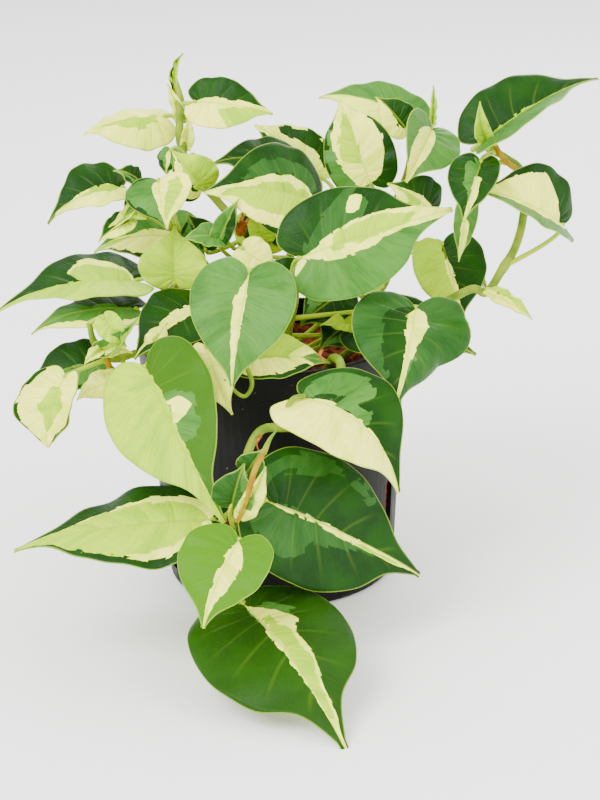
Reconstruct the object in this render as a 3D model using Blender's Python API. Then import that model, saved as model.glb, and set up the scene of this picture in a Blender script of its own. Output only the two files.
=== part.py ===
"""Potted philodendron: a round culture pot, its clay granulate, nine vines and their leaves.

The pot stands on Z = 0 with its axis on Z. -Y is the front, +X the right-hand side.
The layout of the plant is written in millimetres for the pot sizes named below as the
layout's own, and PotSpace moves it with the rim when the pot's sizes change.
"""
import math
from dataclasses import dataclass

import bmesh
import bpy
from mathutils import Matrix, Vector, geometry

MM = 0.001

# Pot
POT_HEIGHT = 0.120
POT_TOP_DIAMETER = 0.130
POT_BASE_DIAMETER = 0.110
POT_WALL = 0.0018
POT_FLOOR = 0.0025
RIM_BAND_HEIGHT = 0.013
RIM_BAND_STEP = 0.0009
BASE_ROUNDING = 0.0030
SLOT_COUNT = 8
SLOT_WIDTH = 0.0075
SLOT_BOTTOM = 0.009
SLOT_TOP = 0.052
SLOT_FIRST_ANGLE = math.radians(19.0)
SLOT_CUT_MARGIN = 0.003
POT_SEGMENTS = 96
BASE_ROUNDING_STEPS = 3
SHARP_ANGLE = math.radians(50.0)

# Granulate
FILL_BELOW_RIM = 0.016
FILL_DOME = 0.002
FILL_CLEARANCE = 0.0004
# Rings of the domed top: share of the fill's radius, share of the dome's height.
DOME_PROFILE = ((0.6, 0.7), (0.2, 1.0))

# Plant
VINE_SIDES = 6
PETIOLE_DIAMETER = 0.0022
LEAF_THICKNESS = 0.0006
TOUCH_GAP = 0.0003
LAYOUT_RIM_RADIUS = 0.065
LAYOUT_POT_HEIGHT = 0.120

# Heart-shaped half outline: share of the half width, share of the length from the petiole.
HEART_OUTLINE = (
    (0.00, 0.000),
    (0.18, -0.080),
    (0.46, -0.112),
    (0.84, 0.010),
    (1.00, 0.230),
    (0.90, 0.460),
    (0.55, 0.690),
    (0.18, 0.870),
    (0.02, 1.000),
)
# What one whole unit of fullness adds to the half outline, as shares of the half width.
FULLNESS = (0.0, 0.0, 0.0, 0.0, 0.0, 0.07, 0.16, 0.10, 0.0)
# Where the side vein that ends at each outline point leaves the midrib, share of the length.
VEIN_ROOTS = (0.0, 0.06, 0.10, 0.16, 0.26, 0.41, 0.58, 0.78, 1.0)
VEIN_STEPS = (0.0, 0.52, 1.0)
VEIN_BEND = 1.3
VINE_STEPS = 2
PETIOLE_STEPS = 3
PETIOLE_STRAIGHT = 0.003
PETIOLE_SAMPLES = 60
PETIOLE_FLAT = 0.15
# The blade starts as wide as its petiole, or this share of its own width if that is less.
BLADE_START = 0.06

POT_COLOUR = (0.020, 0.020, 0.018)
CLAY_COLOUR = (0.230, 0.070, 0.030)
STEM_COLOUR = (0.520, 0.620, 0.120)
LEAF_COLOUR = (0.080, 0.240, 0.040)


class PotSpace:
    """Turns a layout point in millimetres into a place on this pot."""

    @staticmethod
    def place(point):
        """Inside the rim the layout scales with the pot, outside it keeps its distance."""
        x, y, z = (value * MM for value in point)
        radius = math.hypot(x, y)
        rim = POT_TOP_DIAMETER / 2
        if radius > LAYOUT_RIM_RADIUS:
            share = (radius + rim - LAYOUT_RIM_RADIUS) / radius
        else:
            share = rim / LAYOUT_RIM_RADIUS
        if z > LAYOUT_POT_HEIGHT:
            height = z + POT_HEIGHT - LAYOUT_POT_HEIGHT
        else:
            height = z * POT_HEIGHT / LAYOUT_POT_HEIGHT
        return Vector((x * share, y * share, height))


@dataclass(frozen=True)
class Vine:
    """A stem: its thickness in metres and the points that it runs through in millimetres."""

    name: str
    diameter: float
    route: tuple


@dataclass(frozen=True)
class Leaf:
    """A blade with its petiole. Lengths in millimetres, angles in degrees.

    station is where the petiole leaves its vine, as a share of the vine's length. faces is
    the azimuth from the front and the elevation of the upper side. arch bows the midrib
    towards the upper side and sway to the right. fold lifts the left and the right half.
    full widens the half near the tip and tail draws the tip out, as a share of the length.
    reach is how far the petiole sets off backwards and downwards, as shares of its span.
    """

    name: str
    vine: str
    station: float
    base: tuple
    tip: tuple
    faces: tuple
    width: float
    arch: float = 5.0
    fold: tuple = (10, 10)
    sway: float = 0.0
    full: float = 0.6
    tail: float = 0.04
    reach: tuple = (0.15, 0.35)


VINES = (
    Vine("vine_crown", 0.0045, ((4, -22, 105), (6, -28, 122), (9, -33, 140), (10, -35, 150))),
    Vine("vine_trailing", 0.0042, ((22, -38, 105), (27, -54, 123), (30, -70, 123),
                                   (22, -82, 108), (8, -88, 103), (-6, -90, 103),
                                   (-13, -94, 94), (-17, -101, 79), (-20, -107, 64),
                                   (-20, -112, 52), (-20, -114, 45))),
    Vine("vine_low_left", 0.0036, ((-20, -20, 105), (-38, -26, 119), (-58, -32, 124),
                                   (-74, -35, 122), (-82, -36, 130), (-84, -37, 140))),
    Vine("vine_mid_left", 0.0036, ((-22, -6, 105), (-32, -6, 124), (-40, -4, 138),
                                   (-52, -4, 147))),
    Vine("vine_top_left", 0.0042, ((-12, 6, 105), (-10, 10, 140), (-14, 14, 168),
                                   (-24, 22, 182), (-36, 28, 195), (-40, 30, 212),
                                   (-39, 34, 228), (-41, 38, 238))),
    Vine("vine_far_left", 0.0036, ((-18, 16, 105), (-24, 14, 140), (-38, 8, 164),
                                   (-48, 8, 174), (-60, 10, 181))),
    Vine("vine_back", 0.0038, ((6, 20, 105), (8, 28, 140), (16, 32, 165), (24, 34, 176))),
    Vine("vine_top_right", 0.0038, ((22, 10, 105), (38, 16, 135), (56, 20, 165),
                                    (68, 22, 190), (72, 22, 208), (79, 22, 214))),
    Vine("vine_far_right", 0.0042, ((28, -8, 105), (50, -14, 122), (78, -20, 136),
                                    (94, -22, 144), (101, -22, 142), (108, -22, 152),
                                    (115, -20, 163), (119, -17, 176), (120, -16, 194),
                                    (112, -17, 204), (102, -19, 210))),
)

LEAVES = (
    # Trailing over the front rim
    Leaf("leaf_trailing_left", "vine_trailing", 0.8, base=(-30, -106, 68), tip=(-119, -102, 57),
         faces=(-10, 58), width=54, fold=(15, -10), full=0.3, tail=0.08),
    Leaf("leaf_trailing_right", "vine_trailing", 0.76, base=(-6, -107, 76), tip=(63, -90, 30),
         faces=(12, 38), width=62, arch=4, fold=(10, 6), full=0.8, tail=0.1),
    Leaf("leaf_trailing_small", "vine_trailing", 0.9, base=(-18, -138, 71), tip=(-35, -160, 41),
         faces=(-15, 42), width=42, arch=4, fold=(20, 14), full=0.7, reach=(0.0, 0.25)),
    Leaf("leaf_trailing_low", "vine_trailing", 1.0, base=(-18, -124, 35), tip=(22, -197, 2),
         faces=(-20, 62), width=68, fold=(-12, 4), sway=-2, full=1.2, tail=0.12),
    Leaf("leaf_front_right", "vine_trailing", 0.3, base=(12, -84, 115), tip=(53, -104, 76),
         faces=(12, 38), width=48, arch=6, fold=(8, 22), sway=-8, full=0.9, tail=0.06),
    # Crown, front
    Leaf("leaf_front_heart", "vine_crown", 0.8, base=(-9, -58, 167), tip=(-19, -84, 122),
         faces=(-8, 30), width=48, arch=4, fold=(12, 12), full=0.3, tail=0.0),
    Leaf("leaf_crown_big", "vine_crown", 1.0, base=(14, -50, 170), tip=(85, -34, 186),
         faces=(5, 26), width=50, arch=4, fold=(6, 6), full=1.1, tail=0.14),
    Leaf("leaf_crown_right", "vine_crown", 0.7, base=(66, -48, 144), tip=(54, -78, 107),
         faces=(10, 36), width=56, fold=(45, 2), full=0.5, tail=0.05),
    Leaf("leaf_crown_under", "vine_crown", 0.35, base=(-14, -62, 128), tip=(26, -60, 124),
         faces=(0, 45), width=24, arch=3),
    Leaf("leaf_crown_behind", "vine_crown", 0.5, base=(40, -30, 132), tip=(93, -50, 122),
         faces=(10, 50), width=38, arch=4),
    Leaf("leaf_crown_beige", "vine_crown", 0.25, base=(-30, -62, 134), tip=(-20, -79, 107),
         faces=(-15, 20), width=21, arch=3),
    # Low left
    Leaf("leaf_left_lime", "vine_low_left", 0.45, base=(-58, -62, 126), tip=(-25, -120, 72),
         faces=(-25, 32), width=54, arch=6, fold=(12, 12), full=0.5, tail=0.1),
    Leaf("leaf_left_cream", "vine_low_left", 0.75, base=(-96, -46, 118), tip=(-106, -58, 88),
         faces=(-20, 45), width=30, fold=(4, 4), full=3.2, tail=0.0),
    Leaf("leaf_left_dark", "vine_low_left", 0.85, base=(-80, -12, 113), tip=(-119, -14, 101),
         faces=(-20, 50), width=30, arch=6, reach=(0.4, -0.5)),
    Leaf("leaf_left_pale", "vine_low_left", 0.7, base=(-73, -34, 111), tip=(-93, -37, 104),
         faces=(-10, 50), width=16, arch=2, reach=(0.7, 0.0)),
    Leaf("leaf_left_young", "vine_low_left", 1.0, base=(-77, -40, 143), tip=(-67, -44, 130),
         faces=(-10, 30), width=14, arch=4, fold=(35, 35)),
    Leaf("leaf_left_under", "vine_low_left", 0.3, base=(-38, -57, 126), tip=(-35, -75, 86),
         faces=(-10, 10), width=18, arch=2, reach=(0.3, 0.3)),
    # Middle left
    Leaf("leaf_mid_left_long", "vine_mid_left", 1.0, base=(-64, 2, 149), tip=(-130, -14, 142),
         faces=(-5, 72), width=40, arch=6, fold=(15, 18), full=0.4, tail=0.1, reach=(0.5, 0.0)),
    Leaf("leaf_mid_left_edge", "vine_mid_left", 0.8, base=(-64, -8, 138), tip=(-114, -14, 131),
         faces=(-5, 75), width=26, fold=(-10, 10)),
    Leaf("leaf_mid_left_broad", "vine_mid_left", 0.55, base=(-32, -24, 142),
         tip=(-64, -46, 126), faces=(-15, 50), width=38, arch=4),
    Leaf("leaf_mid_left_lime", "vine_mid_left", 0.7, base=(-45, -6, 149), tip=(-44, 5, 175),
         faces=(-5, 0), width=36, arch=3, fold=(35, 30), full=-0.5),
    Leaf("leaf_mid_left_back", "vine_mid_left", 0.6, base=(-36, 24, 162), tip=(-86, 34, 157),
         faces=(-10, 62), width=34, arch=6, fold=(10, 20)),
    # Top left
    Leaf("leaf_top_left_cream", "vine_top_left", 0.8, base=(-47, 36, 221), tip=(-85, 22, 218),
         faces=(0, 45), width=32, arch=3, fold=(-20, -30), reach=(0.5, 0.1)),
    Leaf("leaf_top_left_hood", "vine_top_left", 0.92, base=(-32, 27, 229), tip=(5, 22, 223),
         faces=(0, 30), width=26, arch=3),
    Leaf("leaf_top_left_fold", "vine_top_left", 0.64, base=(-30, 12, 190), tip=(-43, 10, 209),
         faces=(-10, 30), width=24, arch=4, fold=(20, 20), full=1.0),
    Leaf("leaf_far_left_hood", "vine_far_left", 1.0, base=(-68, 14, 192), tip=(-104, 2, 180),
         faces=(-5, 70), width=34, fold=(15, 30), full=0.4, tail=0.08),
    Leaf("leaf_far_left_disc", "vine_far_left", 0.75, base=(-50, -2, 198), tip=(-47, -16, 178),
         faces=(-10, 30), width=32, arch=3, fold=(15, 15)),
    Leaf("leaf_far_left_curl", "vine_far_left", 0.88, base=(-64, -2, 180), tip=(-80, -6, 171),
         faces=(-10, 30), width=12, arch=2, fold=(20, 20), reach=(0.5, 0.1)),
    # Back and middle
    Leaf("leaf_back_big", "vine_back", 1.0, base=(23, 10, 182), tip=(-28, -6, 193),
         faces=(5, 42), width=50, arch=7, fold=(8, 12), full=0.8),
    Leaf("leaf_back_high", "vine_back", 0.9, base=(28, 52, 184), tip=(-4, 64, 210),
         faces=(5, 30), width=30, reach=(0.7, 0.0)),
    Leaf("leaf_back_dark", "vine_back", 0.8, base=(16, 38, 193), tip=(-26, 34, 198),
         faces=(5, 55), width=28),
    Leaf("leaf_back_lime", "vine_back", 0.6, base=(-4, 8, 162), tip=(2, 20, 184),
         faces=(-5, -10), width=28, arch=3),
    Leaf("leaf_back_small", "vine_top_left", 0.36, base=(-20, -14, 172), tip=(-40, -16, 173),
         faces=(-5, 50), width=14, arch=2, fold=(15, 15)),
    Leaf("leaf_back_cream", "vine_back", 0.45, base=(-12, -20, 168), tip=(3, -26, 156),
         faces=(0, 30), width=18, arch=2),
    Leaf("leaf_back_rear", "vine_back", 0.7, base=(14, 54, 160), tip=(-6, 112, 134),
         faces=(190, 55), width=58, arch=8, fold=(12, 12)),
    Leaf("leaf_back_rear_right", "vine_back", 0.4, base=(28, 54, 134), tip=(56, 96, 102),
         faces=(160, 48), width=50, arch=7, fold=(12, 12)),
    Leaf("leaf_back_rear_left", "vine_back", 0.3, base=(-20, 58, 130), tip=(-46, 104, 100),
         faces=(205, 50), width=48, arch=7, fold=(12, 12)),
    Leaf("leaf_rear_side", "vine_top_right", 0.35, base=(66, 36, 148), tip=(112, 56, 120),
         faces=(120, 50), width=46, arch=7, fold=(12, 12)),
    Leaf("leaf_rear_left_side", "vine_far_left", 0.4, base=(-50, 34, 146), tip=(-98, 46, 118),
         faces=(250, 50), width=46, arch=7, fold=(12, 12)),
    # Top right
    Leaf("leaf_top_right_upright", "vine_top_right", 0.6, base=(50, 12, 189), tip=(37, 28, 227),
         faces=(-5, 5), width=34, arch=3, fold=(12, 12), full=1.0),
    Leaf("leaf_top_right_sage", "vine_top_right", 0.98, base=(76, 40, 214), tip=(28, 52, 225),
         faces=(5, 45), width=24, arch=6, reach=(0.7, 0.0)),
    Leaf("leaf_top_right_dark", "vine_top_right", 0.9, base=(69, 28, 211), tip=(55, 32, 227),
         faces=(0, 30), width=18, arch=2, reach=(0.7, 0.0)),
    Leaf("leaf_top_right_wing", "vine_top_right", 1.0, base=(80, 14, 214), tip=(66, -8, 194),
         faces=(10, 30), width=34, arch=3, fold=(10, 50)),
    Leaf("leaf_top_right_lower", "vine_top_right", 0.7, base=(78, 0, 177), tip=(58, -2, 192),
         faces=(10, 30), width=26, arch=3),
    # Far right
    Leaf("leaf_far_right_big", "vine_far_right", 1.0, base=(99, -27, 214), tip=(155, -8, 239),
         faces=(0, 60), width=44, fold=(15, 45), full=0.5, tail=0.1, reach=(1.0, 0.0)),
    Leaf("leaf_far_right_hanging", "vine_far_right", 0.97, base=(98, -34, 207),
         tip=(88, -48, 183), faces=(-5, 20), width=26, arch=3, fold=(50, 5), reach=(0.3, 0.3)),
    Leaf("leaf_far_right_curled", "vine_far_right", 0.9, base=(94, -16, 186),
         tip=(88, -24, 158), faces=(-5, 20), width=11, arch=2, fold=(15, 15), reach=(0.8, -0.2)),
    Leaf("leaf_far_right_cream", "vine_far_right", 0.6, base=(135, -34, 176),
         tip=(96, -42, 196), faces=(0, 45), width=44, fold=(45, 15), full=0.9),
    Leaf("leaf_far_right_inner", "vine_top_right", 0.42, base=(83, 4, 160), tip=(90, -10, 124),
         faces=(10, 20), width=36, arch=3, fold=(15, 15)),
)


def smooth_path(points, steps):
    """Catmull-Rom curve through the points, with that many steps between neighbours."""
    padded = [2 * points[0] - points[1], *points, 2 * points[-1] - points[-2]]
    path = []
    for k in range(1, len(padded) - 2):
        a, b, c, d = padded[k - 1:k + 3]
        for step in range(steps):
            t = step / steps
            path.append(0.5 * ((2 * b) + (c - a) * t + (2 * a - 5 * b + 4 * c - d) * t ** 2
                               + (3 * b - a - 3 * c + d) * t ** 3))
    path.append(points[-1].copy())
    return path


def path_point(path, share):
    """The point at a share of the path's length."""
    lengths = [(b - a).length for a, b in zip(path, path[1:])]
    left = share * sum(lengths)
    for a, b, length in zip(path, path[1:], lengths):
        if left <= length:
            return a.lerp(b, left / length)
        left -= length
    return path[-1].copy()


def near_distance(point, path):
    """How far a point is from a path of straight pieces."""
    nearest = math.inf
    for a, b in zip(path, path[1:]):
        share = geometry.intersect_point_line(point, a, b)[1]
        nearest = min(nearest, (point - a.lerp(b, min(max(share, 0.0), 1.0))).length)
    return nearest


def stop_short(route, path, clearance, steps):
    """The first part of a route, up to where it comes within the clearance of a path."""
    count = len(route) - 1
    while count > 1 and near_distance(route[count], path) < clearance:
        count -= 1
    kept = route[:count + 1]
    return [path_point(kept, step / steps) for step in range(steps + 1)]


def carry(direction, side):
    """The side vector laid square to the direction again."""
    return (side - direction * side.dot(direction)).normalized()


def make_material(name, colour, roughness, metallic=0.0):
    """A plain Principled material."""
    material = bpy.data.materials.new(name)
    material.use_nodes = True
    shader = material.node_tree.nodes["Principled BSDF"]
    shader.inputs["Base Color"].default_value = (*colour, 1.0)
    shader.inputs["Roughness"].default_value = roughness
    shader.inputs["Metallic"].default_value = metallic
    material.diffuse_color = (*colour, 1.0)
    return material


def make_object(name, mesh_data, material):
    """A named object for a finished bmesh."""
    mesh = bpy.data.meshes.new(name)
    mesh_data.to_mesh(mesh)
    mesh_data.free()
    mesh.materials.append(material)
    mesh.shade_smooth()
    mesh.set_sharp_from_angle(angle=SHARP_ANGLE)
    made = bpy.data.objects.new(name, mesh)
    bpy.context.scene.collection.objects.link(made)
    return made


def ring(mesh_data, centre, side, up, half_side, half_up, count):
    """A ring of vertices around a centre."""
    turns = [2 * math.pi * (k + 0.5) / count for k in range(count)]
    return [mesh_data.verts.new(centre + side * half_side * math.cos(turn)
                                + up * half_up * math.sin(turn)) for turn in turns]


def bridge(mesh_data, first, second):
    """Quads between two rings of the same count."""
    count = len(first)
    for k in range(count):
        following = (k + 1) % count
        mesh_data.faces.new((first[k], first[following], second[following], second[k]))


def lathe(mesh_data, profile, segments):
    """Turns a profile of (radius, height) around Z. A closed profile gives a closed wall."""
    rings = []
    for radius, height in profile:
        rings.append([mesh_data.verts.new((radius * math.cos(2 * math.pi * k / segments),
                                           radius * math.sin(2 * math.pi * k / segments),
                                           height)) for k in range(segments)])
    for lower, upper in zip(rings, rings[1:]):
        bridge(mesh_data, lower, upper)
    mesh_data.faces.new(rings[0])
    mesh_data.faces.new(rings[-1])


def pot_radius(height):
    """Outer radius of the pot's wall at a height."""
    base = POT_BASE_DIAMETER / 2
    return base + (POT_TOP_DIAMETER / 2 - RIM_BAND_STEP - base) * height / POT_HEIGHT


def build_pot():
    """The culture pot: a tapered shell with a rim band and a ring of drainage slots."""
    band_low = POT_HEIGHT - RIM_BAND_HEIGHT
    profile = [(pot_radius(0) - BASE_ROUNDING, 0.0)]
    for step in range(1, BASE_ROUNDING_STEPS + 1):
        turn = math.pi / 2 * step / BASE_ROUNDING_STEPS
        height = BASE_ROUNDING * (1 - math.cos(turn))
        radius = pot_radius(height) - BASE_ROUNDING * (1 - math.sin(turn))
        profile.append((radius, height))
    profile += [
        (pot_radius(band_low), band_low),
        (pot_radius(band_low) + RIM_BAND_STEP, band_low + RIM_BAND_STEP),
        (POT_TOP_DIAMETER / 2, POT_HEIGHT - RIM_BAND_STEP / 2),
        (POT_TOP_DIAMETER / 2 - RIM_BAND_STEP / 2, POT_HEIGHT),
        (pot_radius(POT_HEIGHT) - POT_WALL, POT_HEIGHT),
        (pot_radius(POT_FLOOR) - POT_WALL, POT_FLOOR),
    ]
    shell = bmesh.new()
    lathe(shell, profile, POT_SEGMENTS)
    bmesh.ops.recalc_face_normals(shell, faces=shell.faces)
    pot = make_object("culture_pot", shell, make_material("pot_plastic", POT_COLOUR, 0.48))
    slots = bmesh.new()
    inside = pot_radius(SLOT_BOTTOM) - POT_WALL - SLOT_CUT_MARGIN
    outside = pot_radius(SLOT_TOP) + SLOT_CUT_MARGIN
    middle = Vector((0.0, -(inside + outside) / 2, (SLOT_BOTTOM + SLOT_TOP) / 2))
    size = Matrix.Diagonal((SLOT_WIDTH, outside - inside, SLOT_TOP - SLOT_BOTTOM, 1.0))
    for k in range(SLOT_COUNT):
        turn = Matrix.Rotation(SLOT_FIRST_ANGLE + 2 * math.pi * k / SLOT_COUNT, 4, "Z")
        bmesh.ops.create_cube(slots, size=1.0, matrix=turn @ Matrix.Translation(middle) @ size)
    cutter = make_object("slot_cutter", slots, pot.data.materials[0])
    cutter.hide_render = True
    cutter.display_type = "WIRE"
    cut = pot.modifiers.new("slots", "BOOLEAN")
    cut.operation = "DIFFERENCE"
    cut.object = cutter


def build_granulate():
    """The clay granulate as one fill, domed on top and clear of the pot's inside."""
    top = POT_HEIGHT - FILL_BELOW_RIM

    def inner(height):
        return pot_radius(height) - POT_WALL - FILL_CLEARANCE

    low = POT_FLOOR + FILL_CLEARANCE
    profile = [(inner(low) - FILL_CLEARANCE, low), (inner(top), top)]
    profile += [(inner(top) * reach, top + FILL_DOME * rise) for reach, rise in DOME_PROFILE]
    fill = bmesh.new()
    lathe(fill, profile, POT_SEGMENTS)
    bmesh.ops.recalc_face_normals(fill, faces=fill.faces)
    make_object("clay_granulate", fill, make_material("clay", CLAY_COLOUR, 0.95))


def vine_path(vine):
    """The vine's centre line, from the top of the granulate on."""
    points = [PotSpace.place(point) for point in vine.route]
    points[0].z = POT_HEIGHT - FILL_BELOW_RIM + FILL_DOME + TOUCH_GAP
    return smooth_path(points, VINE_STEPS)


def build_vine(vine, material):
    """A vine as a closed tube."""
    path = vine_path(vine)
    tube = bmesh.new()
    radius = vine.diameter / 2
    side = Vector((1.0, 0.0, 0.0))
    rings = []
    for k, point in enumerate(path):
        ahead = path[min(k + 1, len(path) - 1)] - path[max(k - 1, 0)]
        direction = Vector((0.0, 0.0, 1.0)) if k == 0 else ahead.normalized()
        side = carry(direction, side)
        up = direction.cross(side)
        rings.append(ring(tube, point, side, up, radius, radius, VINE_SIDES))
    for lower, upper in zip(rings, rings[1:]):
        bridge(tube, lower, upper)
    tube.faces.new(rings[0])
    tube.faces.new(rings[-1])
    bmesh.ops.recalc_face_normals(tube, faces=tube.faces)
    make_object(vine.name, tube, material)


class Blade:
    """The shape of one leaf: its own axes and the bent surface of its blade."""

    def __init__(self, leaf):
        self.leaf = leaf
        self.base = PotSpace.place(leaf.base)
        tip = Vector(leaf.tip) * MM + self.base - Vector(leaf.base) * MM
        tip.z = PotSpace.place(leaf.tip).z
        self.length = (tip - self.base).length
        self.along = (tip - self.base).normalized()
        azimuth, elevation = (math.radians(angle) for angle in leaf.faces)
        facing = Vector((math.sin(azimuth) * math.cos(elevation),
                         -math.cos(azimuth) * math.cos(elevation), math.sin(elevation)))
        self.up = carry(self.along, facing)
        self.right = self.along.cross(self.up)

    def point(self, side, share, y, height=0.0):
        """A place on the blade: side -1..1 along a side vein, y along the length."""
        half = self.leaf.width * MM / 2
        x = side * share * half
        turn = math.radians(self.leaf.fold[0 if side < 0 else 1])
        bow = 4 * MM * y * (1 - y)
        x, rise = x * math.cos(turn), abs(x) * math.sin(turn)
        return (self.base + self.right * (x + self.leaf.sway * bow)
                + self.along * y * self.length
                + self.up * (rise + self.leaf.arch * bow + height))


def blade_rows(blade, height):
    """Rows of points over the blade, each from the left margin over the midrib to the right."""
    rows = []
    start = min(PETIOLE_DIAMETER / blade.leaf.width / MM, BLADE_START)
    body_share = 1 - blade.leaf.tail
    for (reach, forward), wider, root in zip(HEART_OUTLINE, FULLNESS, VEIN_ROOTS):
        reach = max(reach + wider * blade.leaf.full, start)
        if root < 1:
            forward, root = forward * body_share, root * body_share
        row = []
        for side in (-1, 1):
            for step in (VEIN_STEPS[:0:-1] if side < 0 else VEIN_STEPS):
                y = root + (forward - root) * step ** VEIN_BEND
                row.append(blade.point(side * step, reach, y, height))
        rows.append(row)
    return rows


def petiole_path(blade, vine):
    """The petiole's centre line: straight out of the blade's notch, then bent to its vine."""
    stem = vine_path(vine)
    start = path_point(stem, blade.leaf.station)
    back, under = blade.leaf.reach
    outward = -(blade.along * back + blade.up * under)
    foot = blade.base + outward.normalized() * PETIOLE_STRAIGHT
    bend = blade.base + outward * (start - blade.base).length
    route = []
    for step in range(PETIOLE_SAMPLES + 1):
        t = step / PETIOLE_SAMPLES
        route.append(foot * (1 - t) ** 2 + bend * 2 * t * (1 - t) + start * t ** 2)
    clearance = vine.diameter / 2 + PETIOLE_DIAMETER / 2 + TOUCH_GAP
    return [blade.base, *stop_short(route, stem, clearance, PETIOLE_STEPS)]


def build_leaf(leaf, vine, material):
    """One leaf: a thin bent blade that runs on into its petiole as one closed body."""
    blade = Blade(leaf)
    body = bmesh.new()
    half = LEAF_THICKNESS / 2
    top = [[body.verts.new(p) for p in row] for row in blade_rows(blade, half)]
    low = [[body.verts.new(p) for p in row] for row in blade_rows(blade, -half)]
    columns = len(top[0])
    for near, far in zip(top, top[1:]):
        for k in range(columns - 1):
            body.faces.new((near[k], near[k + 1], far[k + 1], far[k]))
    for near, far in zip(low, low[1:]):
        for k in range(columns - 1):
            body.faces.new((near[k + 1], near[k], far[k], far[k + 1]))
    for k in range(len(top) - 1):
        body.faces.new((top[k][0], top[k + 1][0], low[k + 1][0], low[k][0]))
        body.faces.new((top[k + 1][-1], top[k][-1], low[k][-1], low[k + 1][-1]))
    for k in range(columns - 1):
        body.faces.new((top[-1][k], top[-1][k + 1], low[-1][k + 1], low[-1][k]))
    joint = low[0] + top[0][::-1]
    path = petiole_path(blade, vine)
    radius = PETIOLE_DIAMETER / 2
    side = blade.right
    previous = joint
    for k in range(1, len(path)):
        direction = (path[min(k + 1, len(path) - 1)] - path[k - 1]).normalized()
        side = carry(direction, side)
        up = direction.cross(side)
        across = [j / (columns - 1) * 2 - 1 for j in range(columns)]
        lift = [radius * math.sqrt(max(PETIOLE_FLAT, 1 - a * a)) for a in across]
        under = [path[k] + side * radius * a - up * h for a, h in zip(across, lift)]
        over = [path[k] + side * radius * a + up * h for a, h in zip(across, lift)]
        current = [body.verts.new(p) for p in under + over[::-1]]
        bridge(body, previous, current)
        previous = current
    body.faces.new(previous)
    make_object(leaf.name, body, material)


def main():
    """Builds the pot, its granulate, the vines and the leaves."""
    for old in list(bpy.data.objects):
        bpy.data.objects.remove(old, do_unlink=True)
    build_pot()
    build_granulate()
    stem = make_material("stem_tissue", STEM_COLOUR, 0.45)
    blade = make_material("leaf_tissue", LEAF_COLOUR, 0.38)
    vines = {vine.name: vine for vine in VINES}
    for vine in VINES:
        build_vine(vine, stem)
    for leaf in LEAVES:
        build_leaf(leaf, vines[leaf.vine], blade)


main()
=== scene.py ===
"""Looks of a potted philodendron: pot, granulate, vines, variegated leaves and new growth.

The plant stands on Z = 0 with the pot's axis on Z. -Y is the front, +X the right-hand side.
Places on the plant are written in millimetres, as a grower would measure them from the pot.
"""
import logging
import math
from dataclasses import dataclass, field
from enum import Enum
from typing import Any, Sequence

import bpy
import numpy as np
from mathutils import Matrix, Vector


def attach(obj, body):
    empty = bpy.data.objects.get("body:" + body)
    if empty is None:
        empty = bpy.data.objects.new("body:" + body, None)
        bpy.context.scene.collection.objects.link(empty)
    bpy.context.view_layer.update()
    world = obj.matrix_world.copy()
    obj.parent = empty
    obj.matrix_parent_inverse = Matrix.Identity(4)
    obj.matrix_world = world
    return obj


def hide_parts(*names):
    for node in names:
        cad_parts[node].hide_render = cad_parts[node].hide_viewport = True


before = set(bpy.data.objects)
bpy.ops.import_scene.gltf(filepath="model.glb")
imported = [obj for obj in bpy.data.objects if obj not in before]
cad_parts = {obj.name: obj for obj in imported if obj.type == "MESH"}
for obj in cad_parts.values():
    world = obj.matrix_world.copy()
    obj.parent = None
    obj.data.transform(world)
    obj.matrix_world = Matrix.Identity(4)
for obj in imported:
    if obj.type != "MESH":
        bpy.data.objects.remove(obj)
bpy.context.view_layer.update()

MM = 0.001
BODY = "root"

log = logging.getLogger("philodendron")


# ---------------------------------------------------------------- colour and nodes


def linear(hex_colour: str) -> tuple[float, float, float, float]:
    """Turns an sRGB hex colour into linear RGBA.

    Args:
        hex_colour: Six hex digits after a hash sign.

    Returns:
        The linear colour with alpha 1.
    """
    shares = [int(hex_colour[k:k + 2], 16) / 255 for k in (1, 3, 5)]
    shares = [s / 12.92 if s <= 0.04045 else ((s + 0.055) / 1.055) ** 2.4 for s in shares]
    return (shares[0], shares[1], shares[2], 1.0)


def add_node(tree: bpy.types.NodeTree, kind: str, inputs: dict[Any, Any] | None = None,
             **settings: Any) -> bpy.types.Node:
    """Adds one node with its settings and its links.

    Args:
        tree: The material's node tree.
        kind: The node's type name.
        inputs: Socket name or number to a value, or to the output socket that feeds it.
        settings: The node's own properties.

    Returns:
        The new node.
    """
    node = tree.nodes.new(kind)
    for name, value in settings.items():
        setattr(node, name, value)
    for name, value in (inputs or {}).items():
        if isinstance(value, bpy.types.NodeSocket):
            tree.links.new(value, node.inputs[name])
        else:
            node.inputs[name].default_value = value
    return node


def new_material(name: str) -> tuple[bpy.types.Material, bpy.types.Node]:
    """Starts a material.

    Args:
        name: What the real material is.

    Returns:
        The material and its Principled shader.
    """
    material = bpy.data.materials.new(name)
    material.use_nodes = True
    return material, material.node_tree.nodes["Principled BSDF"]


def dress(piece: bpy.types.Object, material: bpy.types.Material) -> None:
    """Gives a piece one material and no other."""
    piece.data.materials.clear()
    piece.data.materials.append(material)


# ---------------------------------------------------------------- finishes


class Tone(Enum):
    """The leaf's colour zones, from the bottom coat to the top one."""

    # The first zone is painted sheen: a dusky silvery green laid over dark tissue where the glossy
    # leaf catches a soft reflection.
    SAGE = "painted_sheen_mm"
    SILVER = "silver_mm"
    CREAM = "cream_mm"
    LIME = "lime_mm"
    DARK = "dark_mm"


# For each zone: the noise channel that moves its edge, and how far the noise and the blocks
# of tissue move it, in millimetres.
EDGES = {Tone.SAGE: (2, 2.5, 2.0), Tone.SILVER: (0, 2.5, 2.0), Tone.CREAM: (1, 1.6, 0.8),
         Tone.LIME: (2, 2.2, 1.0), Tone.DARK: (0, 1.6, 1.0)}


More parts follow.
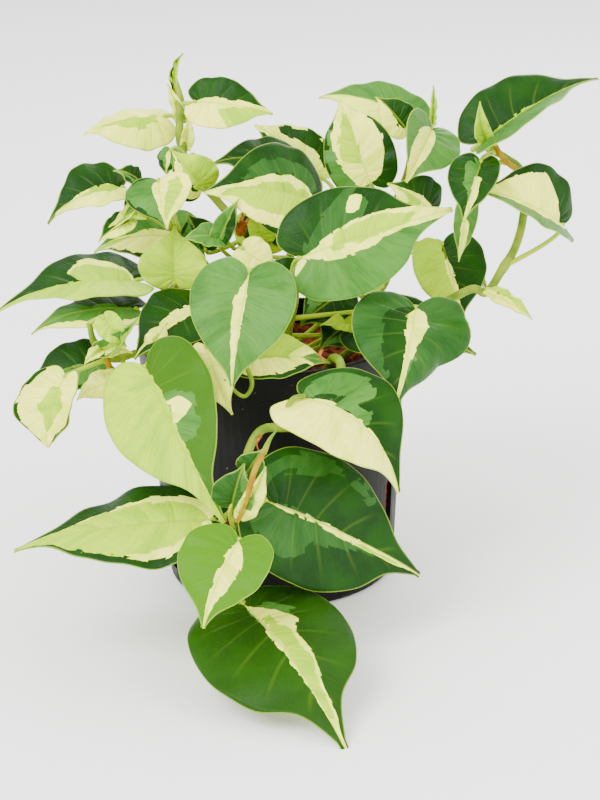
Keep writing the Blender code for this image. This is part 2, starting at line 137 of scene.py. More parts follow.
@dataclass(frozen=True)
class LeafTissue:
    """Living philodendron leaf, grown, not made.

    A smooth waxy skin over green tissue. Cells without green run out from the midrib in
    streaks along the side veins, which gives cream and lime zones with stepped edges, and a
    thin air layer under the skin gives the silvery zones. coarse, blocks and fine are in
    cells per millimetre, along the side veins and across them.
    """

    dark: str = "#0a3000"
    dark_light: str = "#143f00"
    olive: str = "#4f8500"
    silver: str = "#4a7c2c"
    silver_deep: str = "#30621a"
    # Painted sheen: these two dusky silvery greens paint the soft reflection on dark leaves into
    # the colour.
    sage: str = "#2c581c"
    painted_sheen_deep: str = "#1a4610"
    cream: str = "#f8fa6c"
    cream_green: str = "#cfe42c"
    lime: str = "#aed000"
    lime_deep: str = "#86b400"
    stalk: str = "#9eb61c"
    margin: str = "#a4c43c"
    roughness: float = 0.36
    gloss: float = 0.12
    refraction: float = 1.45
    coarse: tuple = (0.035, 0.14)
    blocks: tuple = (0.05, 0.26)
    fine: tuple = (0.16, 1.1)
    fine_shift_mm: float = 0.35
    soft_edge_mm: float = 0.16
    mottle_per_m: float = 70.0
    cells_per_mm: float = 1.4
    rib_share: float = 0.06
    rim_share: float = 0.5
    rim_mm: tuple = (0.42, 0.12)
    midrib_share: float = 0.35
    midrib_mm: tuple = (0.7, 0.2)
    under_share: float = 0.22
    under_roughness: float = 0.18
    relief_mm: float = 0.6

    def material(self) -> bpy.types.Material:
        """Builds the leaf material.

        Returns:
            The material, which reads the attributes and UV maps that Leaf writes.
        """
        material, shader = new_material("philodendron leaf, waxy")
        tree = material.node_tree

        def reading(name: str) -> bpy.types.NodeSocket:
            """The value of a blade attribute."""
            return add_node(tree, "ShaderNodeAttribute", attribute_name=name).outputs["Fac"]

        def math_node(operation: str, *values: Any) -> bpy.types.NodeSocket:
            """The result of a Math node."""
            return add_node(tree, "ShaderNodeMath", dict(enumerate(values)),
                            operation=operation).outputs[0]

        def mixed(share: Any, low: Any, high: Any) -> bpy.types.NodeSocket:
            """Two colours mixed."""
            return add_node(tree, "ShaderNodeMix", {0: share, 6: low, 7: high},
                            data_type="RGBA").outputs[2]

        def ramp(value: Any, low: float, high: float) -> bpy.types.NodeSocket:
            """A value taken smoothly from 0 at low to 1 at high."""
            return add_node(tree, "ShaderNodeMapRange", {0: value, 1: low, 2: high},
                            interpolation_type="SMOOTHSTEP").outputs[0]

        veins = add_node(tree, "ShaderNodeUVMap", uv_map="veins").outputs[0]

        def drawn_out(scale: tuple) -> bpy.types.NodeSocket:
            """Vein coordinates in cells: first along the side veins, then across them."""
            return add_node(tree, "ShaderNodeMapping",
                            {"Vector": veins, "Scale": (scale[0], scale[1], 1.0)}).outputs[0]

        def streaks(scale: tuple, detail: float) -> bpy.types.Node:
            """Noise drawn out along the side veins.

            Args:
                scale: Cells per millimetre, along the side veins and across them.
                detail: Octaves of noise.

            Returns:
                The noise node.
            """
            return add_node(tree, "ShaderNodeTexNoise",
                            {"Vector": drawn_out(scale), "Scale": 1.0, "Detail": detail,
                             "Roughness": 0.5})

        coarse = streaks(self.coarse, 1.0)
        fine = streaks(self.fine, 2.0).outputs["Fac"]
        blocks = add_node(tree, "ShaderNodeTexVoronoi",
                          {"Vector": drawn_out(self.blocks), "Scale": 1.0})
        soft = add_node(tree, "ShaderNodeTexNoise",
                        {"Vector": add_node(tree, "ShaderNodeTexCoord").outputs["Object"],
                         "Scale": self.mottle_per_m, "Detail": 3.0}).outputs["Fac"]
        shifts = add_node(tree, "ShaderNodeSeparateColor", {0: coarse.outputs["Color"]})
        jumps = add_node(tree, "ShaderNodeSeparateColor", {0: blocks.outputs["Color"]})
        fine_shift = math_node("MULTIPLY_ADD", fine, 2 * self.fine_shift_mm,
                               -self.fine_shift_mm)

        def zone(tone: Tone) -> bpy.types.NodeSocket:
            """How much a zone covers, with its edge drawn out into steps and streaks.

            Args:
                tone: The zone's tone.

            Returns:
                1 inside the zone and 0 outside it.
            """
            channel, reach, jump = EDGES[tone]
            shift = math_node("MULTIPLY_ADD", shifts.outputs[channel], 2 * reach, -reach)
            step = math_node("MULTIPLY_ADD", jumps.outputs[channel], 2 * jump, -jump)
            edge = math_node("ADD", reading(tone.value), math_node("ADD", shift, step))
            edge = math_node("ADD", edge, fine_shift)
            return ramp(edge, -self.soft_edge_mm, self.soft_edge_mm)

        # Green ground, mottled and finely streaked, more olive on young leaves
        ground = mixed(ramp(soft, 0.35, 0.75), linear(self.dark),
                       linear(self.dark_light))
        ground = mixed(math_node("MULTIPLY", ramp(fine, 0.45, 0.75), 0.35),
                       ground, linear(self.dark_light))
        ground = mixed(reading("olive"), ground, linear(self.olive))
        # Coats over it, each with the same grain along the veins
        grain = ramp(coarse.outputs["Fac"], 0.42, 0.66)
        thread = math_node("MULTIPLY", ramp(fine, 0.4, 0.7), 0.4)
        grain = math_node("MULTIPLY_ADD", grain, 0.6, thread)
        # The dusky silvery coat is painted sheen, a reflection laid into the colour; the other
        # coats are the leaf's own tones.
        coats = {Tone.SAGE: (self.sage, self.painted_sheen_deep),
                 Tone.SILVER: (self.silver, self.silver_deep),
                 Tone.CREAM: (self.cream, self.cream_green),
                 Tone.LIME: (self.lime, self.lime_deep)}
        colour = ground
        for tone in Tone:
            coat = ground
            if tone in coats:
                coat = mixed(grain, *(linear(shade) for shade in coats[tone]))
            colour = mixed(zone(tone), colour, coat)
        # Side veins, rim, midrib and the paler underside
        rib = add_node(tree, "ShaderNodeUVMap", uv_map="ribs").outputs[0]
        rib_parts = add_node(tree, "ShaderNodeSeparateXYZ", {0: rib})
        line = ramp(math_node("PINGPONG", rib_parts.outputs[1], 0.5), 0.09, 0.0)
        line = math_node("MULTIPLY", line, ramp(rib_parts.outputs[0], 0.95, 0.35))
        colour = mixed(math_node("MULTIPLY", line, self.rib_share), colour,
                       linear(self.margin))
        pale_rim = math_node("MULTIPLY", ramp(reading("rim_mm"), *self.rim_mm), self.rim_share)
        colour = mixed(pale_rim, colour, linear(self.margin))
        midrib = math_node("MULTIPLY", ramp(reading("midrib_mm"), *self.midrib_mm),
                           self.midrib_share)
        colour = mixed(midrib, colour, linear(self.stalk))
        colour = mixed(math_node("MULTIPLY", reading("under"), self.under_share), colour,
                       linear(self.cream_green))
        colour = mixed(reading("blade"), linear(self.stalk), colour)
        tree.links.new(colour, shader.inputs["Base Color"])
        skin = add_node(tree, "ShaderNodeMapRange",
                        {0: soft, 3: self.roughness - 0.07,
                         4: self.roughness + 0.09})
        dull = math_node("MULTIPLY", reading("under"), self.under_roughness)
        tree.links.new(math_node("ADD", skin.outputs[0], dull), shader.inputs["Roughness"])
        # Cell by cell relief, sunk side veins and soft dents
        cells = add_node(tree, "ShaderNodeTexNoise",
                         {"Vector": veins, "Scale": self.cells_per_mm, "Detail": 2.0})
        height = math_node("MULTIPLY_ADD", line, -1.0, cells.outputs["Fac"])
        height = math_node("MULTIPLY_ADD", fine, 0.8, height)
        height = math_node("MULTIPLY_ADD", soft, 2.0, height)
        bump = add_node(tree, "ShaderNodeBump",
                        {"Height": height, "Strength": 0.45,
                         "Distance": self.relief_mm * MM})
        tree.links.new(bump.outputs[0], shader.inputs["Normal"])
        shader.inputs["IOR"].default_value = self.refraction
        shader.inputs["Specular IOR Level"].default_value = self.gloss
        return material


@dataclass(frozen=True)
class TissueFinish:
    """A finish of small grains, mottled with patches several grains wide.

    The relief and the gloss both follow the grains.
    """

    name: str
    light: str
    deep: str
    roughness: float
    grain_mm: float
    bump_mm: float
    gloss: float = 0.12
    patch_grains: float = 6
    roughness_swing: float = 0.08

    def material(self) -> bpy.types.Material:
        """Builds the finish on Object coordinates.

        Returns:
            The finished material.
        """
        material, shader = new_material(self.name)
        tree = material.node_tree
        place = add_node(tree, "ShaderNodeTexCoord").outputs["Object"]
        mottle = add_node(tree, "ShaderNodeTexNoise",
                          {"Vector": place, "Scale": 1 / (self.grain_mm * self.patch_grains * MM),
                           "Detail": 3.0})
        share = add_node(tree, "ShaderNodeMapRange", {0: mottle.outputs["Fac"], 1: 0.35, 2: 0.68},
                         interpolation_type="SMOOTHSTEP")
        colour = add_node(tree, "ShaderNodeMix", {0: share.outputs[0], 6: linear(self.light),
                                                  7: linear(self.deep)}, data_type="RGBA")
        tree.links.new(colour.outputs[2], shader.inputs["Base Color"])
        grain = add_node(tree, "ShaderNodeTexNoise",
                         {"Vector": place, "Scale": 1 / (self.grain_mm * MM), "Detail": 2.0})
        rough = add_node(tree, "ShaderNodeMapRange",
                         {0: grain.outputs["Fac"], 3: self.roughness - self.roughness_swing,
                          4: self.roughness + self.roughness_swing})
        tree.links.new(rough.outputs[0], shader.inputs["Roughness"])
        bump = add_node(tree, "ShaderNodeBump", {"Height": grain.outputs["Fac"],
                                                 "Strength": 0.5,
                                                 "Distance": self.bump_mm * MM})
        tree.links.new(bump.outputs[0], shader.inputs["Normal"])
        shader.inputs["Specular IOR Level"].default_value = self.gloss
        return material


# A living stem grows smooth, under a thin wax that gives a soft, broad gloss.
STEM = TissueFinish("living stem, smooth", "#84961c", "#5c7a10", 0.44, 1.2, 0.08)
# A leaf sheath dries to a thin, papery, nearly matt skin of an orange yellow.
SHEATH = TissueFinish("dry leaf sheath, papery", "#a88600", "#8a6400", 0.55, 0.8, 0.06)
# An aerial root is covered in cork cells, which are brown, rough and matt.
ROOT = TissueFinish("aerial root, corky", "#b06a2a", "#6e3a14", 0.80, 0.5, 0.12)
# Expanded clay is tumbled wet and fired, which leaves a porous, matt, red-brown crust. Its colours
# are darkened to a deep brown as painted shade, for the shade that falls under the foliage.
LECA_IN_PAINTED_SHADE = TissueFinish("expanded clay, fired, darkened as painted shade", "#7a3420", "#35150a", 0.92, 0.45, 0.30)


@dataclass(frozen=True)
class MouldedPlastic:
    """Dark recycled polypropylene, injection moulded.

    The mould leaves it satin. Handling adds hair scratches and pale dust specks. clouds,
    specks, hairs and grain are in cells per metre.
    """

    base: str = "#060605"
    worn: str = "#0e0e0d"
    speck: str = "#7d6f55"
    roughness: float = 0.46
    gloss: float = 0.14
    clouds: float = 22.0
    specks: float = 110.0
    hairs: tuple = (900.0, 40.0, 60.0)
    hair_turn: tuple = (0.4, 0.9, 0.3)
    grain: float = 1600.0
    grain_mm: float = 0.06

    def material(self) -> bpy.types.Material:
        """Builds the pot's material on Object coordinates.

        Returns:
            The finished material.
        """
        material, shader = new_material("moulded polypropylene, satin")
        tree = material.node_tree
        place = add_node(tree, "ShaderNodeTexCoord").outputs["Object"]
        cloud = add_node(tree, "ShaderNodeTexNoise",
                         {"Vector": place, "Scale": self.clouds, "Detail": 4.0})
        wear = add_node(tree, "ShaderNodeMapRange", {0: cloud.outputs["Fac"], 1: 0.45, 2: 0.80})
        colour = add_node(tree, "ShaderNodeMix", {0: wear.outputs[0], 6: linear(self.base),
                                                  7: linear(self.worn)}, data_type="RGBA")
        dust = add_node(tree, "ShaderNodeTexVoronoi", {"Vector": place, "Scale": self.specks})
        dot = add_node(tree, "ShaderNodeMapRange", {0: dust.outputs["Distance"], 1: 0.07, 2: 0.03})
        patchy = add_node(tree, "ShaderNodeMath", {0: dot.outputs[0], 1: cloud.outputs["Fac"]},
                          operation="MULTIPLY")
        specked = add_node(tree, "ShaderNodeMix", {0: patchy.outputs[0], 6: colour.outputs[2],
                                                   7: linear(self.speck)}, data_type="RGBA")
        tree.links.new(specked.outputs[2], shader.inputs["Base Color"])
        hairs = add_node(tree, "ShaderNodeMapping",
                         {"Vector": place, "Rotation": self.hair_turn, "Scale": self.hairs})
        scratch = add_node(tree, "ShaderNodeTexNoise",
                           {"Vector": hairs.outputs[0], "Scale": 1.0, "Detail": 1.0})
        rough = add_node(tree, "ShaderNodeMapRange",
                         {0: scratch.outputs["Fac"], 1: 0.3, 2: 0.75,
                          3: self.roughness - 0.04, 4: self.roughness + 0.12})
        tree.links.new(rough.outputs[0], shader.inputs["Roughness"])
        grain = add_node(tree, "ShaderNodeTexNoise",
                         {"Vector": place, "Scale": self.grain, "Detail": 2.0})
        bump = add_node(tree, "ShaderNodeBump", {"Height": grain.outputs["Fac"],
                                                 "Strength": 0.25,
                                                 "Distance": self.grain_mm * MM})
        tree.links.new(bump.outputs[0], shader.inputs["Normal"])
        shader.inputs["Specular IOR Level"].default_value = self.gloss
        return material


# ---------------------------------------------------------------- shapes


def catmull(values: np.ndarray, at: np.ndarray) -> np.ndarray:
    """Reads a smooth curve through rows of values.

    Args:
        values: Rows of control values, one row per whole number.
        at: Where to read the curve, from 0 to the number of rows less one.

    Returns:
        One row of values for each reading.
    """
    padded = np.vstack([2 * values[0] - values[1], values, 2 * values[-1] - values[-2]])
    k = np.clip(np.floor(at).astype(int), 0, len(values) - 2)
    t = (at - k)[:, None]
    a, b, c, d = (padded[k + j] for j in range(4))
    return 0.5 * (2 * b + (c - a) * t + (2 * a - 5 * b + 4 * c - d) * t ** 2
                  + (3 * b - a - 3 * c + d) * t ** 3)


def smooth_path(points: Sequence[Sequence[float]], steps: int) -> np.ndarray:
    """Draws a smooth path through points.

    Args:
        points: Places in millimetres.
        steps: Steps from each place to the next.

    Returns:
        Points in metres.
    """
    values = np.array(points, float) * MM
    return catmull(values, np.linspace(0, len(values) - 1, (len(values) - 1) * steps + 1))


def travelled(path: np.ndarray) -> np.ndarray:
    """How far along a path each of its points is."""
    return np.r_[0, np.cumsum(np.linalg.norm(np.diff(path, axis=0), axis=1))]


def at_share(path: np.ndarray, share: float) -> np.ndarray:
    """The point at a share of a path's length."""
    lengths = travelled(path)
    return np.array([np.interp(share * lengths[-1], lengths, path[:, k]) for k in range(3)])


def active_mesh() -> bpy.types.Object:
    """The object that the last operator made."""
    return bpy.context.view_layer.objects.active


def deselect() -> None:
    """Leaves nothing selected."""
    bpy.ops.object.select_all(action="DESELECT")


def join(pieces: Sequence[bpy.types.Object]) -> bpy.types.Object:
    """Joins pieces into the first of them.

    Args:
        pieces: Mesh objects.

    Returns:
        The first piece, with the others in it.
    """
    deselect()
    for piece in pieces:
        piece.select_set(True)
    bpy.context.view_layer.objects.active = pieces[0]
    bpy.ops.object.join()
    return active_mesh()


def tube(name: str, path: np.ndarray, radii: np.ndarray, sides: int = 3) -> bpy.types.Object:
    """A round closed tube along a path.

    Args:
        name: The object's name.
        path: Points in metres.
        radii: The tube's radius at each point, in metres.
        sides: Bevel resolution, which gives 2 * sides + 2 faces around.

    Returns:
        The tube as a mesh object at the origin.
    """
    deselect()
    bpy.ops.curve.primitive_bezier_curve_add(location=(0, 0, 0))
    drawn = active_mesh()
    drawn.name = name
    curve = drawn.data
    curve.splines.clear()
    spline = curve.splines.new("POLY")
    spline.points.add(len(path) - 1)
    spline.points.foreach_set("co", np.c_[path, np.ones(len(path))].ravel())
    spline.points.foreach_set("radius", np.asarray(radii, float))
    curve.dimensions = "3D"
    curve.bevel_depth = 1.0
    curve.bevel_resolution = sides - 1
    curve.use_fill_caps = True
    bpy.ops.object.convert(target="MESH")
    made = active_mesh()
    made.data.shade_smooth()
    return made


class Form(Enum):
    """Half outlines: share of the half width, share of the length, share of the vein's root."""

    HEART = ((0.00, 0.000, 0.00), (0.18, -0.080, 0.04), (0.46, -0.112, 0.07),
             (0.84, 0.010, 0.11), (1.00, 0.230, 0.17), (0.90, 0.460, 0.29),
             (0.55, 0.690, 0.46), (0.18, 0.870, 0.70), (0.02, 1.000, 1.00))
    SPEAR = ((0.00, 0.000, 0.00), (0.35, -0.010, 0.02), (0.62, 0.040, 0.05),
             (0.86, 0.130, 0.09), (1.00, 0.280, 0.17), (0.94, 0.470, 0.32),
             (0.66, 0.690, 0.52), (0.30, 0.870, 0.76), (0.02, 1.000, 1.00))


# What one whole unit of fullness adds to the half outline, as shares of the half width.
FULLNESS = (0.0, 0.0, 0.0, 0.0, 0.0, 0.07, 0.16, 0.10, 0.0)
TIP_ROW = len(FULLNESS) - 1
# The depth of a point that no zone of a tone is near, in millimetres.
OUTSIDE_MM = -20.0


@dataclass(frozen=True)
class Zone:
    """A coloured zone: its tone and its two edges along the blade.

    Each station is (share of the length, edge, edge), with edges from -1 at the left margin
    over 0 at the midrib to 1 at the right margin.
    """

    tone: Tone
    stations: tuple

    def depth(self, side: np.ndarray, root: np.ndarray, half_mm: float,
              length_mm: float) -> np.ndarray:
        """How deep each point lies in the zone.

        Args:
            side: -1 at the left margin to 1 at the right one.
            root: Share of the length at which the point's vein leaves the midrib.
            half_mm: The blade's half width.
            length_mm: The blade's length.

        Returns:
            Depths in millimetres, less than 0 outside the zone.
        """
        stations = np.array(self.stations, float)
        low = np.interp(root, stations[:, 0], stations[:, 1])
        high = np.interp(root, stations[:, 0], stations[:, 2])
        depth = np.minimum(side - low, high - side) * half_mm
        if stations[0, 0] > 0:
            depth = np.minimum(depth, (root - stations[0, 0]) * length_mm)
        if stations[-1, 0] < 1:
            depth = np.minimum(depth, (stations[-1, 0] - root) * length_mm)
        return depth


@dataclass
class Leaf:
    """A blade with its petiole. Lengths in millimetres, angles in degrees.

    station is where the petiole leaves its vine, as a share of the vine's length. faces is
    the azimuth from the front and the elevation of the upper side. arch bows the midrib
    towards the upper side and sway to the right. fold lifts the left and the right half,
    full widens the half near the tip and tail draws the tip out. roll bends the two halves
    upwards, in degrees from midrib to margin, from roll_from on. hook drops the tip from
    hook_from on and wave ripples the margins. reach is how far the petiole sets off
    backwards and downwards. narrowest is the least half width, sweep bends the side veins
    forwards, bulge is the height between them and groove the midrib's depth and width.
    crowding packs the grid towards the midrib and the petiole.
    """

    name: str
    vine: str
    station: float
    base: tuple
    tip: tuple
    faces: tuple
    width: float
    arch: float = 5.0
    fold: tuple = (10, 10)
    sway: float = 0.0
    reach: tuple = (0.15, 0.35)
    full: float = 0.6
    tail: float = 0.04
    zones: tuple = ()
    roll: tuple = (-14.0, -14.0)
    roll_from: float = -1.0
    hook: float = 2.0
    wave: float = 0.7
    waves: tuple = (15, 27)
    second_wave: float = 0.6
    olive: float = 0.0
    form: Form = Form.HEART
    rows: int = 64
    columns: int = 36
    crowding: float = 1.25
    narrowest: float = 0.05
    sweep: float = 1.3
    roll_blend: float = 0.3
    hook_from: float = 0.72
    bulge: float = 0.16
    vein_offset: float = 0.2
    groove: tuple = (0.6, 1.2)
    thickness: float = 0.45
    petiole: tuple = (1.0, 1.25)
    petiole_start: tuple = (0.4, 0.6, 0.8, 0.95)
    petiole_straight: float = 3
    petiole_steps: int = 14
    slot: str = "leaf"
    seed: int = field(default=0)

    def __post_init__(self) -> None:
        """Works out the blade's own axes."""
        self.root = Vector(self.base) * MM
        end = Vector(self.tip) * MM
        self.length = (end - self.root).length
        self.along = (end - self.root).normalized()
        azimuth, elevation = (math.radians(angle) for angle in self.faces)
        facing = Vector((math.sin(azimuth) * math.cos(elevation),
                         -math.cos(azimuth) * math.cos(elevation), math.sin(elevation)))
        self.up = (facing - self.along * facing.dot(self.along)).normalized()
        self.right = self.along.cross(self.up)

    def surface(self, side: np.ndarray, row: np.ndarray) -> tuple[np.ndarray, ...]:
        """The blade's middle surface.

        Args:
            side: -1 at the left margin to 1 at the right one.
            row: Place along the half outline, 0 at the petiole to TIP_ROW at the tip.

        Returns:
            Points in metres, the vein's root share and the local half width in metres.
        """
        shape = np.array(self.form.value)
        shape[:, 0] += self.full * np.array(FULLNESS)
        shape[:-1, 1:] *= 1 - self.tail
        outline = catmull(shape, row)
        half = self.width * MM / 2
        least = self.narrowest * half
        reach = np.maximum(outline[:, 0] * half, least)
        reach = np.where(row > TIP_ROW - 0.1, np.minimum(reach, least), reach)
        forward, root = outline[:, 1], outline[:, 2]
        out = np.abs(side)
        y = root + (forward - root) * out ** self.sweep
        bow = 4 * MM * y * (1 - y)
        turn = np.radians(np.where(side < 0, self.fold[0], self.fold[1]))
        rolled = np.clip((forward - self.roll_from) / self.roll_blend, 0, 1)
        # A hair more than flat, so that nothing is divided by 0
        rolled = np.radians(np.where(side < 0, self.roll[0], self.roll[1])) * rolled + 1e-6
        flat = np.sin(rolled * out) / rolled * reach
        lift = (1 - np.cos(rolled * out)) / rolled * reach
        x = np.sign(side) * (flat * np.cos(turn) - lift * np.sin(turn))
        margin = (out ** 3) * np.clip(reach / half * 1.5, 0, 1)
        phase = self.seed * 1.7
        ripple = np.sin(y * self.waves[0] + phase + np.sign(side) * 1.3)
        ripple += self.second_wave * np.sin(y * self.waves[1] + 2 * phase)
        swell = self.bulge * np.sin(np.pi * np.clip(out, 0, 1))
        quilt = -np.cos(2 * np.pi * (row - self.vein_offset)) * swell
        deep, wide = self.groove
        groove = -deep * np.exp(-(flat / (wide * MM)) ** 2) * np.clip(1.05 - y, 0, 1)
        hooked = np.clip((y - self.hook_from) / (1 - self.hook_from), 0, None) ** 2
        rise = (flat * np.sin(turn) + lift * np.cos(turn) + self.arch * bow
                + self.wave * MM * margin * ripple + (quilt + groove) * MM
                - self.hook * MM * hooked)
        points = (np.array(self.root) + np.outer(x + self.sway * bow, self.right)
                  + np.outer(y * self.length, self.along) + np.outer(rise, self.up))
        return points, root, reach

    def build_blade(self) -> bpy.types.Object:
        """Shapes a grid into the blade, thickens it and writes its attributes.

        Returns:
            The blade without its petiole.
        """
        deselect()
        bpy.ops.mesh.primitive_grid_add(x_subdivisions=self.columns, y_subdivisions=self.rows,
                                        size=2.0, location=(0, 0, 0))
        blade = active_mesh()
        blade.name = self.name
        mesh = blade.data
        flat = np.empty(len(mesh.vertices) * 3)
        mesh.vertices.foreach_get("co", flat)
        flat = flat.reshape(-1, 3)
        side = np.clip(np.sign(flat[:, 0]) * np.abs(flat[:, 0]) ** self.crowding, -1, 1)
        row = TIP_ROW * np.clip((flat[:, 1] + 1) / 2, 0, 1) ** self.crowding
        points, root, reach = self.surface(side, row)
        mesh.vertices.foreach_set("co", points.ravel())
        self.write_tissue(mesh, side, row, root, reach)
        top_count = len(points)
        thicken = blade.modifiers.new("thickness", "SOLIDIFY")
        thicken.thickness = self.thickness * MM
        thicken.offset = -1.0
        bpy.ops.object.modifier_apply(modifier=thicken.name)
        mesh = blade.data
        under = np.zeros(len(mesh.vertices))
        under[top_count:] = 1.0
        self.write(mesh, "under", under)
        mesh.shade_smooth()
        return blade

    def write_tissue(self, mesh: bpy.types.Mesh, side: np.ndarray, row: np.ndarray,
                     root: np.ndarray, reach: np.ndarray) -> None:
        """Writes what the leaf material reads, one value for each vertex.

        Args:
            mesh: The blade's mesh, before it is thickened.
            side: -1 at the left margin to 1 at the right one.
            row: Place along the half outline.
            root: Share of the length at which the vertex's vein leaves the midrib.
            reach: The local half width in metres.
        """
        count = len(side)
        length_mm = self.length / MM
        self.write(mesh, "blade", np.ones(count))
        self.write(mesh, "olive", np.full(count, self.olive))
        self.write(mesh, "rim_mm", np.minimum((1 - np.abs(side)) * reach / MM, 9.0))
        self.write(mesh, "midrib_mm", np.abs(side) * reach / MM)
        for tone in Tone:
            depths = [zone.depth(side, root, self.width / 2, length_mm)
                      for zone in self.zones if zone.tone is tone]
            self.write(mesh, tone.value, np.max([np.full(count, OUTSIDE_MM), *depths], axis=0))
        # Every leaf, and each half of it, reads another part of the pattern
        shift = self.seed * 37.0 + np.where(side < 0, 500.0, 0.0)
        self.write_uv(mesh, "veins", np.abs(side) * reach / MM, root * length_mm + shift)
        self.write_uv(mesh, "ribs", np.abs(side), row - self.vein_offset)

    @staticmethod
    def write(mesh: bpy.types.Mesh, name: str, values: np.ndarray) -> None:
        """Stores one number per vertex."""
        attribute = mesh.attributes.new(name, "FLOAT", "POINT")
        attribute.data.foreach_set("value", values.astype(np.float32))

    @staticmethod
    def write_uv(mesh: bpy.types.Mesh, name: str, u: np.ndarray, v: np.ndarray) -> None:
        """Stores a UV map.

        Args:
            mesh: The mesh.
            name: The map's name.
            u: First coordinate of each vertex.
            v: Second coordinate of each vertex.
        """
        layer = mesh.uv_layers.new(name=name)
        corner = np.empty(len(mesh.loops), int)
        mesh.loops.foreach_get("vertex_index", corner)
        layer.data.foreach_set("uv", np.c_[u[corner], v[corner]].ravel())

    def petiole_path(self, stem: np.ndarray) -> np.ndarray:
        """The petiole's centre line.

        Args:
            stem: The path of its vine.

        Returns:
            Points in metres, from inside the blade's base to the vine's centre line.
        """
        start = Vector(at_share(stem, self.station))
        back, under = self.reach
        outward = -(self.along * back + self.up * under)
        foot = self.root + outward.normalized() * self.petiole_straight * MM
        bend = self.root + outward * (start - self.root).length
        route = [self.root + self.along * 1.0 * MM - self.up * 0.2 * MM, self.root.copy()]
        for step in range(self.petiole_steps + 1):
            t = step / self.petiole_steps
            route.append(foot * (1 - t) ** 2 + bend * 2 * t * (1 - t) + start * t ** 2)
        return np.array(route)

    def build(self, stems: dict[str, np.ndarray], tissue: bpy.types.Material,
              node: str | None) -> bpy.types.Object:
        """Builds the whole leaf.

        Args:
            stems: Vine name to its path.
            tissue: The leaf's material.
            node: The CAD node that this leaf stands for, if any.

        Returns:
            The finished leaf.
        """
        blade = self.build_blade()
        if self.vine:
            route = smooth_path(self.petiole_path(stems[self.vine]) / MM, 3)
            slim, wide = self.petiole
            radii = (slim + (wide - slim) * np.linspace(0, 1, len(route)) ** 2) * MM
            radii[:len(self.petiole_start)] *= np.array(self.petiole_start)
            blade = join([blade, tube(self.name + "_petiole", route, radii)])
        dress(blade, tissue)
        blade.name = self.name + "_living" if node else self.name
        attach(blade, BODY)
        if node:
            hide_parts(node)
        return blade


# ---------------------------------------------------------------- the plant's layout


@dataclass(frozen=True)
class Vine:
    """A stem: its diameter and the points that it runs through, in millimetres."""

    name: str
    diameter: float
    route: tuple


VINES = (
    Vine("vine_crown", 4.5, ((4, -22, 106), (6, -28, 122), (9, -33, 140), (10, -35, 150))),
    Vine("vine_trailing", 4.2, ((22, -38, 106), (27, -54, 123), (30, -70, 123),
                                (22, -82, 108), (8, -88, 103), (-6, -90, 103),
                                (-13, -94, 94), (-17, -101, 79), (-20, -107, 64),
                                (-20, -112, 52), (-20, -114, 45))),
    Vine("vine_low_left", 3.6, ((-20, -20, 106), (-38, -26, 119), (-58, -32, 124),
                                (-74, -35, 122), (-82, -36, 130), (-84, -37, 140))),
    Vine("vine_mid_left", 3.6, ((-22, -6, 106), (-32, -6, 124), (-40, -4, 138),
                                (-52, -4, 147))),
    Vine("vine_top_left", 4.2, ((-12, 6, 106), (-10, 10, 140), (-14, 14, 168),
                                (-24, 22, 182), (-36, 28, 195), (-40, 30, 212),
                                (-39, 34, 228), (-41, 38, 238))),
    Vine("vine_far_left", 3.6, ((-18, 16, 106), (-24, 14, 140), (-38, 8, 164),
                                (-48, 8, 174), (-60, 10, 181))),
    Vine("vine_back", 3.8, ((6, 20, 106), (8, 28, 140), (16, 32, 165), (24, 34, 176))),
    Vine("vine_top_right", 3.8, ((22, 10, 106), (38, 16, 135), (56, 20, 165),
                                 (68, 22, 190), (72, 22, 208), (79, 22, 214))),
    Vine("vine_far_right", 4.2, ((28, -8, 106), (50, -14, 122), (78, -20, 136),
                                 (94, -22, 144), (101, -22, 142), (108, -22, 152),
                                 (115, -20, 163), (119, -17, 176), (120, -16, 194),
                                 (112, -17, 204), (102, -19, 210))),
)

ALL = -1.3, 1.3
SILVER, SAGE, CREAM, LIME, DARK = (Tone.SILVER, Tone.SAGE, Tone.CREAM, Tone.LIME,
                                   Tone.DARK)


def whole(tone: Tone) -> Zone:
    """A zone over the whole blade."""
    return Zone(tone, ((0, *ALL), (1, *ALL)))


def stripe(tone: Tone, *stations: tuple) -> Zone:
    """A zone between two edges, given at each station."""
    return Zone(tone, stations)


def band(tone: Tone, left: float, right: float) -> Zone:
    """A zone with the same edges from the petiole to the tip."""
    return Zone(tone, ((0, left, right), (1, left, right)))


def young(name: str, base: tuple, tip: tuple, faces: tuple, width: float, *zones: Zone,
          vine: str = "", station: float = 0, **shape: Any) -> Leaf:
    """A small leaf, bud or sheath of the new growth, nearly flat and on a coarser grid.

    Args:
        name: The piece's name.
        base: Where the blade starts.
        tip: Where it ends.
        faces: Azimuth and elevation of its upper side.
        width: Its width.
        zones: Its coloured zones.
        vine: The vine that it grows from, or none where it has no petiole.
        station: Share of the vine's length.
        shape: Whatever else it has of its own.

    Returns:
        The leaf.
    """
    return Leaf(name, vine, station, base, tip, faces, width, arch=1.5, zones=zones, rows=40,
                columns=20, **shape)


